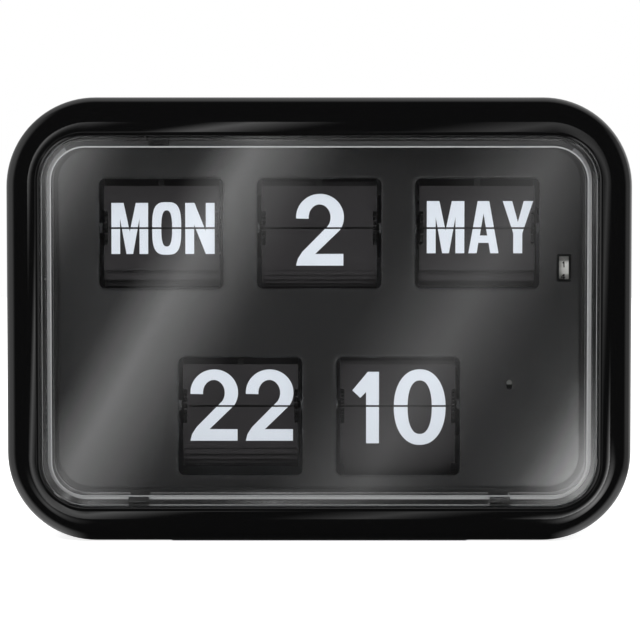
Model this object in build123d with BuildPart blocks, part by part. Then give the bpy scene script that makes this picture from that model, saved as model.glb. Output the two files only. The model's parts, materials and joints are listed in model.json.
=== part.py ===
from build123d import *
import os
from math import cos, radians, sin, sqrt

# Calendar flip clock: five drums of hinged leaves behind a dial, in a deep rounded case.
# Sizes in millimetres. X runs to the right seen from the front, Y to the back, Z up from the shelf.

# Case
CASE_W = 333.0
CASE_H = 237.0
CASE_D = 98.0
CASE_R = 47.5
CASE_WALL = 3.0
BEZEL_T = 4.0
BEZEL_SIDE_W = 18.0
BEZEL_TOP_W = 20.8
BEZEL_LOW_W = 18.3
BEZEL_EDGE_R = 8.0
BEZEL_LIP = 2.4
REAR_CHAMFER = 1.2
OPENING_R = 24.0
FOOT_L = 157.0
FOOT_H = 0.6
FOOT_SLANT = 1.6
BOSS_D = 9.0
BOSS_SINK = 0.5
CHASSIS_BOSS_INSET = 19.0
COVER_BOSS_SPREAD = 38.0
BOSS_SIDES = 12
SCREW_SIDES = 12
SCREW_D = 3.0
SCREW_LEN = 9.0
SCREW_HEAD_D = 5.6
SCREW_HEAD_H = 2.0
SCREW_FIT = 0.05
PILOT_EXTRA = 1.5

# Lens and dial
LENS_RECESS = 1.5
LENS_T = 2.5
LENS_GAP = 0.6
LENS_RIM = 4.5
LENS_FLANGE = 1.6
LENS_FLANGE_T = 2.0
LENS_CHAMFER = 0.8
DIAL_DEPTH = 25.5
DIAL_T = 2.0
DIAL_MARGIN = 2.0
WINDOW_R = 3.0
WINDOW_BEVEL = 0.9
CLIP_W = 10.4
CLIP_DEPTH = 13.0
CLIP_T = 3.2
CLIP_PLAY = 0.3
CLIP_LOW_INSET = 51.1
CLIP_TOP_INSET = 62.2
PEEPHOLE_GAP = 26.8
PEEPHOLE_RISE = 11.9
PEEPHOLE_W = 3.0
PEEPHOLE_H = 5.2
LEAP_GAP = 13.4
LEAP_DROP = 21.3
LEAP_WINDOW_W = 7.0
LEAP_WINDOW_H = 14.2
LEAP_WINDOW_R = 0.8

# Windows: room from the case opening, gaps between leaves, and what shows round a pair of leaves
SIDE_ROOM = 29.9
TOP_ROOM = 22.6
LOW_ROOM = 14.6
COLUMN_GAP = 22.9
ROW_GAP = 37.6
WINDOW_PLAY = 2.1
REVEAL_UP = 3.8
TOP_REVEAL_DOWN = 9.7
LOW_REVEAL_DOWN = 14.4

# Leaves and drums
LEAF_BEHIND_DIAL = 2.5
LEAF_SPLIT = 0.6
LEAF_T = 0.25
MINUTE_LEAF_T = 0.1
NOTCH_DEPTH = 2.2
NOTCH_HALF_H = 9.2
TAB_HALF = 0.28
TAB_SHORT = 0.2
PIVOT_R = 13.0
MINUTE_PIVOT_R = 18.0
RIM_OUT = 1.8
RIM_IN = 1.2
DISC_T = 1.4
DISC_PLAY = 0.35
CORE_D = 8.0
CORE_SIDES = 8
AXLE_D = 4.0
AXLE_END = 4.6
RUN_FIT = 0.05
LEAN_BACK = 5.0
MINUTE_LEAN_BACK = 3.0
FINGER_W = 3.0
FINGER_T = 0.5
FINGER_FOOT = 3.0
FINGER_PLAY_Y = 0.25
FINGER_PLAY_Z = 0.2
FINGER_REACH_UP = 5.0
SEEN_LEAVES = 6

# Chassis and drum brackets
CHASSIS_BACK = 15.0
CHASSIS_T = 2.0
CHASSIS_SIDE_PLAY = 0.5
CHASSIS_EDGE_PLAY = 0.8
CHASSIS_R = 40.0
CUTOUT_PLAY = 1.2
BRACKET_T = 1.5
BRACKET_PLAY = 1.4
BRACKET_HALF_H = 18.0
BRACKET_NOSE = 6.0
BRACKET_NOSE_SHARE = 0.45
PILLAR_D = 6.0
PILLAR_SIDES = 12
PILLAR_INSET = 8.5
PILLAR_LOW_RISE = 2.0
PILLAR_HIGH_DROP = 11.2

# Gears
GEAR_MODULE = 1.2
GEAR_T = 3.0
GEAR_OFFSET = 1.0
MINUTE_TEETH = 30
MOTOR_TEETH = 10
SETTING_TEETH = 20
HOUR_TEETH = 24
CARRY_TEETH = 12
STAR_R = 12.0
STAR_ROOT_R = 9.6
STAR_T = 2.0
STUB_D = 3.0
MOTOR_ANGLE = 75.0
THUMB_PROUD = 3.0
THUMB_T = 4.0
THUMB_RIBS = 24
THUMB_RIB_H = 0.5
THUMB_SLOT_PLAY = 1.0
EAR_R = 4.0
ARM_SIDES = 8

# Motor, running indicator and leap year wheel
MOTOR_SIDE_PLAY = 2.5
MOTOR_W = 40.0
MOTOR_BEHIND = 9.5
MOTOR_H = 46.0
MOTOR_DROP = 11.0
MOTOR_CHAMFER = 2.0
INDICATOR_R = 5.0
INDICATOR_W = 8.0
INDICATOR_SIDES = 24
INDICATOR_PLAY = 1.0
INDICATOR_SHAFT_D = 2.0
INDICATOR_EAR_T = 1.5
INDICATOR_EAR_H = 7.0
SIDE_PLAY = 0.4
LEAP_R = 9.0
LEAP_W = 8.0
LEAP_SIDES = 16

# Rear cover, battery and set buttons
COVER_RECESS = 4.0
COVER_T = 2.5
COVER_PLAY = 0.4
CELL_D = 34.2
CELL_L = 61.5
CELL_NUB_D = 9.5
CELL_NUB_L = 1.5
CELL_SIDE_ROOM = 48.5
CELL_LOW_ROOM = 36.4
CELL_PLAY = 0.5
CONTACT_T = 0.5
CONTACT_W = 12.0
CONTACT_H = 26.0
CONTACT_GAP = 1.6
CONTACT_BUMP_D = 6.0
CONTACT_PLAY = 0.05
POCKET_WALL = 1.8
DOOR_T = 1.5
DOOR_LAP = 2.0
DOOR_PLAY = 0.25
DOOR_GRIPS = 5
DOOR_GRIP_PITCH = 2.4
DOOR_GRIP_W = 1.0
DOOR_GRIP_H = 0.6
RAIL_W = 1.8
RAIL_LIP = 1.4
RAIL_T = 1.2
KEYHOLE_INSET = 96.5
KEYHOLE_DROP = 32.0
KEYHOLE_D = 9.0
KEYHOLE_SLOT_W = 4.6
KEYHOLE_RISE = 9.0
BUTTON_D = 9.0
BUTTON_ROD_D = 4.0
BUTTON_FLANGE_D = 11.0
BUTTON_FLANGE_T = 1.2
BUTTON_PROUD = 3.0
BUTTON_TRAVEL = 3.0
BUTTON_RISE = 8.5
BUTTON_TIP_PLAY = 1.0
BUTTON_HOLE_PLAY = 0.15
BUTTON_CHAMFER = 0.8
BUTTON_SIDES = 24
BUTTON_ROD_SIDES = 12

# Calendar rocker
ROCKER_RISE = 0.6
ROCKER_AHEAD = 14.0
ROCKER_D = 4.0
ROCKER_LEFT_OFFSET = 22.0
ROCKER_RIGHT_OFFSET = 50.0
ROCKER_ARM_T = 2.0
ROCKER_ARM_R = 3.0
ROCKER_TIP_R = 1.6
ROCKER_CLEAR = 4.2
ROCKER_DROP = 24.0
ROCKER_EAR_X = 22.0
ROCKER_EAR_T = 2.0

CUT = 1.0

# Places worked out from the sizes above
FRONT_Y = -CASE_D / 2
REAR_Y = CASE_D / 2
CASE_BODY_H = CASE_H - FOOT_H
CASE_MID_Z = FOOT_H + CASE_BODY_H / 2
INNER_W = CASE_W - 2 * CASE_WALL
INNER_H = CASE_BODY_H - 2 * CASE_WALL
INNER_R = CASE_R - CASE_WALL
BEZEL_REAR_Y = FRONT_Y + BEZEL_T
FOOT_D = CASE_D - 2 * BEZEL_EDGE_R
OPENING_W = CASE_W - 2 * BEZEL_SIDE_W
OPENING_BOTTOM = FOOT_H + BEZEL_LOW_W
OPENING_TOP = CASE_H - BEZEL_TOP_W
OPENING_H = OPENING_TOP - OPENING_BOTTOM
OPENING_MID_Z = OPENING_BOTTOM + OPENING_H / 2
TOP_PITCH = (OPENING_W + COLUMN_GAP - 2 * (WINDOW_PLAY + SIDE_ROOM)) / 3
LOW_PITCH = TOP_PITCH
LEAF_W = TOP_PITCH - COLUMN_GAP
WINDOW_W = LEAF_W + 2 * WINDOW_PLAY
REVEALS = 2 * REVEAL_UP + TOP_REVEAL_DOWN + LOW_REVEAL_DOWN
LEAF_HALF_H = (OPENING_H - TOP_ROOM - ROW_GAP - LOW_ROOM - REVEALS) / 4
WINDOW_UP = LEAF_HALF_H + REVEAL_UP
TOP_WINDOW_DOWN = LEAF_HALF_H + TOP_REVEAL_DOWN
LOW_WINDOW_DOWN = LEAF_HALF_H + LOW_REVEAL_DOWN
LOW_AXIS_Z = OPENING_BOTTOM + LOW_ROOM + LOW_WINDOW_DOWN
TOP_AXIS_Z = OPENING_TOP - TOP_ROOM - WINDOW_UP
LENS_FRONT_Y = FRONT_Y + LENS_RECESS
LENS_W = OPENING_W - 2 * LENS_GAP
LENS_H = OPENING_H - 2 * LENS_GAP
LENS_R = OPENING_R - LENS_GAP
DIAL_FRONT_Y = FRONT_Y + DIAL_DEPTH
DIAL_REAR_Y = DIAL_FRONT_Y + DIAL_T
LEAF_Y = DIAL_REAR_Y + LEAF_BEHIND_DIAL
CHASSIS_FRONT_Y = REAR_Y - CHASSIS_BACK
CHASSIS_REAR_Y = CHASSIS_FRONT_Y + CHASSIS_T
COVER_OUT_Y = REAR_Y - COVER_RECESS
COVER_IN_Y = COVER_OUT_Y - COVER_T
BOSS_INSET = BOSS_D / 2 - BOSS_SINK
CHASSIS_BOSS_X = CASE_W / 2 - CASE_R - CHASSIS_BOSS_INSET
CHASSIS_BOSSES = [
    (side * CHASSIS_BOSS_X, CASE_MID_Z + rise * (INNER_H / 2 - BOSS_INSET))
    for side in (-1, 1)
    for rise in (-1, 1)
]
COVER_BOSSES = [
    (side * (INNER_W / 2 - BOSS_INSET), CASE_MID_Z + rise * COVER_BOSS_SPREAD)
    for side in (-1, 1)
    for rise in (-1, 1)
]
CHASSIS_W = INNER_W - 2 * (BOSS_D + CHASSIS_SIDE_PLAY)
PILLAR_X = OPENING_W / 2 - PILLAR_INSET
PILLARS = [
    (side * PILLAR_X, height)
    for side in (-1, 1)
    for height in (LOW_AXIS_Z + PILLAR_LOW_RISE, OPENING_TOP - PILLAR_HIGH_DROP)
]
LEAP_X = TOP_PITCH + WINDOW_W / 2 + LEAP_GAP
LEAP_Z = TOP_AXIS_Z - LEAP_DROP
PEEPHOLE_X = LOW_PITCH / 2 + WINDOW_W / 2 + PEEPHOLE_GAP
PEEPHOLE_Z = LOW_AXIS_Z + PEEPHOLE_RISE
KEYHOLE_X = CASE_W / 2 - KEYHOLE_INSET
KEYHOLE_Z = CASE_H - KEYHOLE_DROP
CHEEK_IN = LEAF_W / 2 + BRACKET_PLAY
CHEEK_OUT = CHEEK_IN + BRACKET_T
DISC_IN = LEAF_W / 2 - NOTCH_DEPTH + DISC_PLAY
CELL_X = CELL_SIDE_ROOM - INNER_W / 2
CELL_Z = FOOT_H + CASE_WALL + CELL_LOW_ROOM
POCKET_W = CELL_L + 2 * (CONTACT_T + CONTACT_GAP)
POCKET_H = CELL_D + 2 * CELL_PLAY
POCKET_DEPTH = CELL_D + 2 * CELL_PLAY
CELL_Y = COVER_OUT_Y - POCKET_DEPTH / 2
SCREW_BORE_D = SCREW_D + 2 * SCREW_FIT


class Drum:
    """One drum: where its axle lies, how many leaves it carries and how they stand at rest."""

    def __init__(self, name, x, z, count, radius, thick, lean, window_down):
        self.name = name
        self.x = x
        self.z = z
        self.count = count
        self.radius = radius
        self.thick = thick
        self.lean = lean
        self.window_down = window_down
        self.step = 360 / count
        self.rise = radius * sin(radians(self.step / 2))
        self.y = LEAF_Y + radius * cos(radians(self.step / 2)) + thick / 2

    def pivot(self, i):
        """Hinge line of leaf i, counted up from the front leaf."""
        around = radians(self.step / 2 + i * self.step)
        return self.y - self.radius * cos(around), self.z + self.radius * sin(around)

    def lean_back(self, i):
        """Angle of leaf i from upright: 0 in front, fanned over the top, hanging behind and below."""
        around = self.step / 2 + i * self.step
        if i == 0:
            return 0
        if around < 180:
            return i * self.step - self.lean
        return 180


DRUMS = [
    Drum("hour", -LOW_PITCH / 2, LOW_AXIS_Z, 24, PIVOT_R, LEAF_T, LEAN_BACK, LOW_WINDOW_DOWN),
    Drum("minute", LOW_PITCH / 2, LOW_AXIS_Z, 60, MINUTE_PIVOT_R, MINUTE_LEAF_T, MINUTE_LEAN_BACK, LOW_WINDOW_DOWN),
    Drum("weekday", -TOP_PITCH, TOP_AXIS_Z, 14, PIVOT_R, LEAF_T, LEAN_BACK, TOP_WINDOW_DOWN),
    Drum("date", 0, TOP_AXIS_Z, 31, PIVOT_R, LEAF_T, LEAN_BACK, TOP_WINDOW_DOWN),
    Drum("month", TOP_PITCH, TOP_AXIS_Z, 12, PIVOT_R, LEAF_T, LEAN_BACK, TOP_WINDOW_DOWN),
]
HOUR, MINUTE, WEEKDAY, DATE, MONTH = DRUMS
CALENDAR = (WEEKDAY, DATE, MONTH)

GEAR_X_OFFSET = CHEEK_OUT + GEAR_OFFSET
MINUTE_GEAR_R = GEAR_MODULE * MINUTE_TEETH / 2
HOUR_GEAR_R = GEAR_MODULE * HOUR_TEETH / 2
SETTING_Y = MINUTE.y + GEAR_MODULE * (MINUTE_TEETH + SETTING_TEETH) / 2
CARRY_Y = HOUR.y + GEAR_MODULE * (HOUR_TEETH + CARRY_TEETH) / 2
MOTOR_REACH = GEAR_MODULE * (MINUTE_TEETH + MOTOR_TEETH) / 2
MOTOR_SHAFT_Y = MINUTE.y + MOTOR_REACH * cos(radians(MOTOR_ANGLE))
MOTOR_SHAFT_Z = MINUTE.z + MOTOR_REACH * sin(radians(MOTOR_ANGLE))
INDICATOR_Y = DIAL_REAR_Y + INDICATOR_PLAY + INDICATOR_R
MOTOR_FRONT_Y = INDICATOR_Y + MOTOR_BEHIND
LEAP_Y = DIAL_REAR_Y + INDICATOR_PLAY + LEAP_R
THUMB_X = MINUTE.x + GEAR_X_OFFSET + GEAR_T
THUMB_R = COVER_OUT_Y + THUMB_PROUD - SETTING_Y
STUB_END_X = THUMB_X + THUMB_T
MOTOR_X = STUB_END_X + MOTOR_SIDE_PLAY
MOTOR_LOW_Z = LOW_AXIS_Z - MOTOR_DROP
STAR_X_OFFSET = GEAR_X_OFFSET
BUTTON_X_OFFSET = STAR_X_OFFSET + STAR_T / 2
ROCKER_Y = CHASSIS_FRONT_Y - ROCKER_AHEAD
ROCKER_Z = (LOW_AXIS_Z + TOP_AXIS_Z) / 2 + ROCKER_RISE
ROCKER_LEFT_X = WEEKDAY.x + ROCKER_LEFT_OFFSET
ROCKER_RIGHT_X = DATE.x + ROCKER_RIGHT_OFFSET


def at_depth(y):
    """Sketch plane that faces the front at depth y: its x is X and its y is Z."""
    return Plane.XZ.offset(-y)


def across(x):
    """Sketch plane that faces right at x: its x is Y and its y is Z."""
    return Plane.YZ.offset(x)


def save(builder, name):
    builder.part.label = name
    export_step(builder.part, f"parts/{name}.step")


def star_points(tips, tip_r, root_r, first, centre):
    """Corners of a star wheel with its first root at the angle first, in degrees."""
    pitch = 360 / tips
    points = []
    for i in range(tips):
        for radius, turn in ((root_r, i * pitch), (tip_r, (i + 0.5) * pitch)):
            around = radians(first + turn)
            points.append((centre[0] - radius * cos(around), centre[1] + radius * sin(around)))
    return points


ADDENDUM_SHARE = 0.75
DEDENDUM_SHARE = 1.1
TIP_SHARE = 0.22
ROOT_SHARE = 0.56


def gear_points(teeth, centre, tooth_at):
    """Corners of a gear with straight-flanked teeth, one tooth centred on the angle tooth_at, in degrees."""
    pitch_r = GEAR_MODULE * teeth / 2
    tip_r = pitch_r + ADDENDUM_SHARE * GEAR_MODULE
    root_r = pitch_r - DEDENDUM_SHARE * GEAR_MODULE
    pitch = 360 / teeth
    corners = (
        (root_r, -ROOT_SHARE / 2),
        (tip_r, -TIP_SHARE / 2),
        (tip_r, TIP_SHARE / 2),
        (root_r, ROOT_SHARE / 2),
    )
    points = []
    for i in range(teeth):
        for radius, turn in corners:
            around = radians(tooth_at + (i + turn) * pitch)
            points.append((centre[0] + radius * cos(around), centre[1] + radius * sin(around)))
    return points


def prism(points, x, length):
    """Solid with the given outline in Y and Z, from x to x + length."""
    with BuildPart() as block:
        with BuildSketch(across(x)):
            with BuildLine():
                Polyline(*points, close=True)
            make_face()
        extrude(amount=length)
    return block.part


def rod(centre, diameter, x, length):
    """Round bar along X from x to x + length."""
    with BuildPart() as bar:
        with BuildSketch(across(x)):
            with Locations(centre):
                Circle(diameter / 2)
        extrude(amount=length)
    return bar.part


def sided_bar(centre, diameter, sides, x, length):
    """Many-sided bar along X from x to x + length, for barrels that needn't be round."""
    with BuildPart() as bar:
        with BuildSketch(across(x)):
            with Locations(centre):
                RegularPolygon(diameter / 2, sides)
        extrude(amount=length)
    return bar.part


def link(start, start_r, end, end_r, x, length):
    """Flat arm with eight-sided ends of different radii, from x to x + length."""
    with BuildPart() as arm:
        with BuildSketch(across(x)):
            with Locations(start):
                RegularPolygon(start_r, ARM_SIDES)
            with Locations(end):
                RegularPolygon(end_r, ARM_SIDES)
            make_hull()
        extrude(amount=length)
    return arm.part


def screw_set(places, seat_y):
    """Screws driven forward, heads seated at seat_y; many-sided instead of round, to keep facets few."""
    with BuildPart() as screws:
        with BuildSketch(at_depth(seat_y)):
            with Locations(*places):
                RegularPolygon(SCREW_D / 2, SCREW_SIDES)
        extrude(amount=SCREW_LEN)
        with BuildSketch(at_depth(seat_y)):
            with Locations(*places):
                RegularPolygon(SCREW_HEAD_D / 2, SCREW_SIDES)
        extrude(amount=-SCREW_HEAD_H)
    return screws


os.makedirs("parts", exist_ok=True)

# Case shell: deep rounded tube, front wall with the lens opening, screw posts and a low flat foot
with BuildPart() as case_shell:
    with BuildSketch(at_depth(REAR_Y)):
        with Locations((0, CASE_MID_Z)):
            RectangleRounded(CASE_W, CASE_BODY_H, CASE_R)
    extrude(amount=CASE_D)
    fillet(case_shell.faces().sort_by(Axis.Y)[0].edges(), BEZEL_EDGE_R)
    chamfer(case_shell.faces().sort_by(Axis.Y)[-1].edges(), REAR_CHAMFER)
    with BuildSketch(at_depth(REAR_Y)):
        with Locations((0, CASE_MID_Z)):
            RectangleRounded(INNER_W, INNER_H, INNER_R)
    extrude(amount=CASE_D - BEZEL_T, mode=Mode.SUBTRACT)
    with BuildSketch(at_depth(BEZEL_REAR_Y)):
        with Locations((0, OPENING_MID_Z)):
            RectangleRounded(OPENING_W, OPENING_H, OPENING_R)
    extrude(amount=BEZEL_T + CUT, mode=Mode.SUBTRACT)
    chamfer(case_shell.faces().sort_by(Axis.Y)[0].inner_wires()[0].edges(), BEZEL_LIP)
    with BuildSketch(at_depth(FOOT_D / 2)):
        with BuildLine():
            Polyline(
                (-FOOT_L / 2, 0),
                (FOOT_L / 2, 0),
                (FOOT_L / 2 + FOOT_SLANT, FOOT_H),
                (FOOT_L / 2 + FOOT_SLANT, FOOT_H + CASE_WALL / 2),
                (-FOOT_L / 2 - FOOT_SLANT, FOOT_H + CASE_WALL / 2),
                (-FOOT_L / 2 - FOOT_SLANT, FOOT_H),
                close=True,
            )
        make_face()
    extrude(amount=FOOT_D)
    for bosses, end_y in ((CHASSIS_BOSSES, CHASSIS_FRONT_Y), (COVER_BOSSES, COVER_IN_Y)):
        with BuildSketch(at_depth(end_y)):
            with Locations(*bosses):
                RegularPolygon(BOSS_D / 2, BOSS_SIDES)
        extrude(amount=end_y - BEZEL_REAR_Y)
        with BuildSketch(at_depth(end_y)):
            with Locations(*bosses):
                RegularPolygon(SCREW_BORE_D / 2, SCREW_SIDES)
        extrude(amount=SCREW_LEN + PILOT_EXTRA, mode=Mode.SUBTRACT)
save(case_shell, "case_shell")

# Clear lens: flat front, thick side walls down to the dial, a flange behind the bezel, three clip notches
CLIP_LOW_X = LENS_W / 2 - CLIP_LOW_INSET
CLIP_TOP_X = CLIP_TOP_INSET - LENS_W / 2
CLIP_PLACES = [
    (-CLIP_LOW_X, OPENING_MID_Z - LENS_H / 2 + LENS_RIM / 2),
    (CLIP_LOW_X, OPENING_MID_Z - LENS_H / 2 + LENS_RIM / 2),
    (CLIP_TOP_X, OPENING_MID_Z + LENS_H / 2 - LENS_RIM / 2),
]
with BuildPart() as front_lens:
    with BuildSketch(at_depth(DIAL_FRONT_Y)):
        with Locations((0, OPENING_MID_Z)):
            RectangleRounded(LENS_W, LENS_H, LENS_R)
    extrude(amount=DIAL_FRONT_Y - LENS_FRONT_Y)
    chamfer(front_lens.faces().sort_by(Axis.Y)[0].edges(), LENS_CHAMFER)
    with BuildSketch(at_depth(BEZEL_REAR_Y + LENS_FLANGE_T)):
        with Locations((0, OPENING_MID_Z)):
            RectangleRounded(OPENING_W + 2 * LENS_FLANGE, OPENING_H + 2 * LENS_FLANGE, OPENING_R + LENS_FLANGE)
    extrude(amount=LENS_FLANGE_T)
    with BuildSketch(at_depth(DIAL_FRONT_Y)):
        with Locations((0, OPENING_MID_Z)):
            RectangleRounded(LENS_W - 2 * LENS_RIM, LENS_H - 2 * LENS_RIM, LENS_R - LENS_RIM)
    extrude(amount=DIAL_FRONT_Y - LENS_FRONT_Y - LENS_T, mode=Mode.SUBTRACT)
    with BuildSketch(at_depth(DIAL_FRONT_Y)):
        with Locations(*CLIP_PLACES):
            Rectangle(CLIP_W + 2 * CLIP_PLAY, LENS_RIM + 2 * CUT)
    extrude(amount=CLIP_DEPTH + CLIP_PLAY, mode=Mode.SUBTRACT)
save(front_lens, "front_lens")

# Dial plate: five bevelled windows, the leap year window, the running peephole and three lens clips
with BuildPart() as dial_plate:
    with BuildSketch(at_depth(DIAL_REAR_Y)):
        with Locations((0, OPENING_MID_Z)):
            RectangleRounded(OPENING_W + 2 * DIAL_MARGIN, OPENING_H + 2 * DIAL_MARGIN, OPENING_R + DIAL_MARGIN)
        for drum in DRUMS:
            with Locations((drum.x, drum.z + (WINDOW_UP - drum.window_down) / 2)):
                RectangleRounded(WINDOW_W, WINDOW_UP + drum.window_down, WINDOW_R, mode=Mode.SUBTRACT)
        with Locations((LEAP_X, LEAP_Z)):
            RectangleRounded(LEAP_WINDOW_W, LEAP_WINDOW_H, LEAP_WINDOW_R, mode=Mode.SUBTRACT)
        with Locations((PEEPHOLE_X, PEEPHOLE_Z)):
            SlotOverall(PEEPHOLE_H, PEEPHOLE_W, rotation=90, mode=Mode.SUBTRACT)
    extrude(amount=DIAL_T)
    window_wires = dial_plate.faces().sort_by(Axis.Y)[0].inner_wires()
    chamfer(window_wires.sort_by(SortBy.LENGTH)[-len(DRUMS):].edges(), WINDOW_BEVEL)
    with BuildSketch(at_depth(DIAL_FRONT_Y)):
        with Locations(*CLIP_PLACES):
            Rectangle(CLIP_W, CLIP_T)
    extrude(amount=CLIP_DEPTH)
save(dial_plate, "dial_plate")


def leaf(drum, i):
    """Flat leaf i: a plate with side notches round the drum discs and a tab in each disc's rim.

    A leaf that shows beside the split runs on past its hinge line, and one out of sight has straight sides."""
    pivot_y, pivot_z = drum.pivot(i)
    lean = radians(drum.lean_back(i))
    plane = Plane(origin=(drum.x, pivot_y, pivot_z), x_dir=(1, 0, 0), z_dir=(0, -cos(lean), sin(lean)))
    side = LEAF_W / 2
    waist = side - NOTCH_DEPTH
    tab = side - TAB_SHORT
    tip = LEAF_HALF_H - drum.rise
    notch = NOTCH_HALF_H - drum.rise
    tail = drum.rise - LEAF_SPLIT / 2
    from_front = min(i, drum.count - i)
    right = [(tab, -TAB_HALF), (tab, TAB_HALF), (waist, TAB_HALF)]
    if from_front > SEEN_LEAVES:
        right += [(waist, tip)]
    else:
        right += [(waist, notch), (side, notch), (side, tip)]
    if from_front <= 1:
        right = [(waist, -tail), (waist, -TAB_HALF)] + right
    left = [(-x, y) for x, y in reversed(right)]
    with BuildPart() as plate:
        with BuildSketch(plane):
            with BuildLine():
                Polyline(*right, *left, close=True)
            make_face()
        extrude(amount=drum.thick / 2, both=True)
    return plate.part


def spool(drum):
    """Axle with its barrel and the two notched discs that carry the leaves."""
    centre = (drum.y, drum.z)
    with BuildPart() as body:
        add(rod(centre, AXLE_D, drum.x - CHEEK_OUT - AXLE_END, 2 * (CHEEK_OUT + AXLE_END)))
        add(sided_bar(centre, CORE_D, CORE_SIDES, drum.x - DISC_IN - DISC_T, 2 * (DISC_IN + DISC_T)))
        rim = star_points(drum.count, drum.radius + RIM_OUT, drum.radius - RIM_IN, drum.step / 2, centre)
        for x in (drum.x - DISC_IN - DISC_T, drum.x + DISC_IN):
            add(prism(rim, x, DISC_T))
        if drum is MINUTE:
            add(prism(gear_points(MINUTE_TEETH, centre, 0), drum.x + GEAR_X_OFFSET, GEAR_T))
        elif drum is HOUR:
            add(prism(gear_points(HOUR_TEETH, centre, 0), drum.x + GEAR_X_OFFSET, GEAR_T))
        else:
            teeth = star_points(drum.count, STAR_R, STAR_ROOT_R, 0, centre)
            add(prism(teeth, drum.x + STAR_X_OFFSET, STAR_T))
    return body


def bracket(drum):
    """U-shaped bracket on the chassis: a web and two cheeks with the axle's bearing holes."""
    with BuildPart() as body:
        with BuildSketch(at_depth(CHASSIS_FRONT_Y)):
            with Locations((drum.x, drum.z)):
                Rectangle(2 * CHEEK_OUT, 2 * BRACKET_HALF_H)
        extrude(amount=BRACKET_T)
        for x in (drum.x - CHEEK_OUT, drum.x + CHEEK_IN):
            with BuildSketch(across(x)):
                with BuildLine():
                    Polyline(
                        (CHASSIS_FRONT_Y, drum.z - BRACKET_HALF_H),
                        (CHASSIS_FRONT_Y, drum.z + BRACKET_HALF_H),
                        (drum.y, drum.z + BRACKET_NOSE),
                        (drum.y - BRACKET_NOSE, drum.z + BRACKET_NOSE * BRACKET_NOSE_SHARE),
                        (drum.y - BRACKET_NOSE, drum.z - BRACKET_NOSE * BRACKET_NOSE_SHARE),
                        (drum.y, drum.z - BRACKET_NOSE),
                        close=True,
                    )
                make_face()
            extrude(amount=BRACKET_T)
        outer = drum.x + CHEEK_OUT
        if drum is MINUTE:
            add(rod((SETTING_Y, drum.z), STUB_D, outer, STUB_END_X - outer))
        if drum is HOUR:
            add(rod((CARRY_Y, drum.z), STUB_D, outer, GEAR_OFFSET + GEAR_T))
        if drum is MONTH:
            add(link((drum.y, drum.z), EAR_R, (LEAP_Y, LEAP_Z), EAR_R, outer - BRACKET_T, BRACKET_T))
            add(rod((LEAP_Y, LEAP_Z), STUB_D, outer, LEAP_X + LEAP_W / 2 - outer))
        with BuildSketch(across(drum.x - CHEEK_OUT - CUT)):
            with Locations((drum.y, drum.z)):
                Circle(AXLE_D / 2 + RUN_FIT)
        extrude(amount=2 * (CHEEK_OUT + CUT), mode=Mode.SUBTRACT)
    return body


# Drums: bracket, spool, the leaf that falls, the leaf behind it, and all other leaves
for drum in DRUMS:
    save(bracket(drum), f"{drum.name}_bracket")
    save(spool(drum), f"{drum.name}_drum")
    for name, members in (("front_leaf", [0]), ("next_leaf", [1]), ("leaves", range(2, drum.count))):
        with BuildPart() as leaves:
            add([leaf(drum, i) for i in members])
        save(leaves, f"{drum.name}_{name}")

# Sprung fingers on the back of the dial, one just above the top edge of each front leaf
with BuildPart() as leaf_fingers:
    for drum in DRUMS:
        low = drum.z + LEAF_HALF_H + FINGER_PLAY_Z
        high = drum.z + WINDOW_UP + FINGER_REACH_UP
        rear_y = LEAF_Y - FINGER_PLAY_Y
        with BuildSketch(across(drum.x)):
            with BuildLine():
                Polyline(
                    (rear_y, low),
                    (rear_y, high),
                    (DIAL_REAR_Y, high),
                    (DIAL_REAR_Y, high - FINGER_FOOT),
                    (rear_y - FINGER_T, high - FINGER_FOOT),
                    (rear_y - FINGER_T, low),
                    close=True,
                )
            make_face()
        extrude(amount=FINGER_W / 2, both=True)
save(leaf_fingers, "leaf_fingers")

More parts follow.
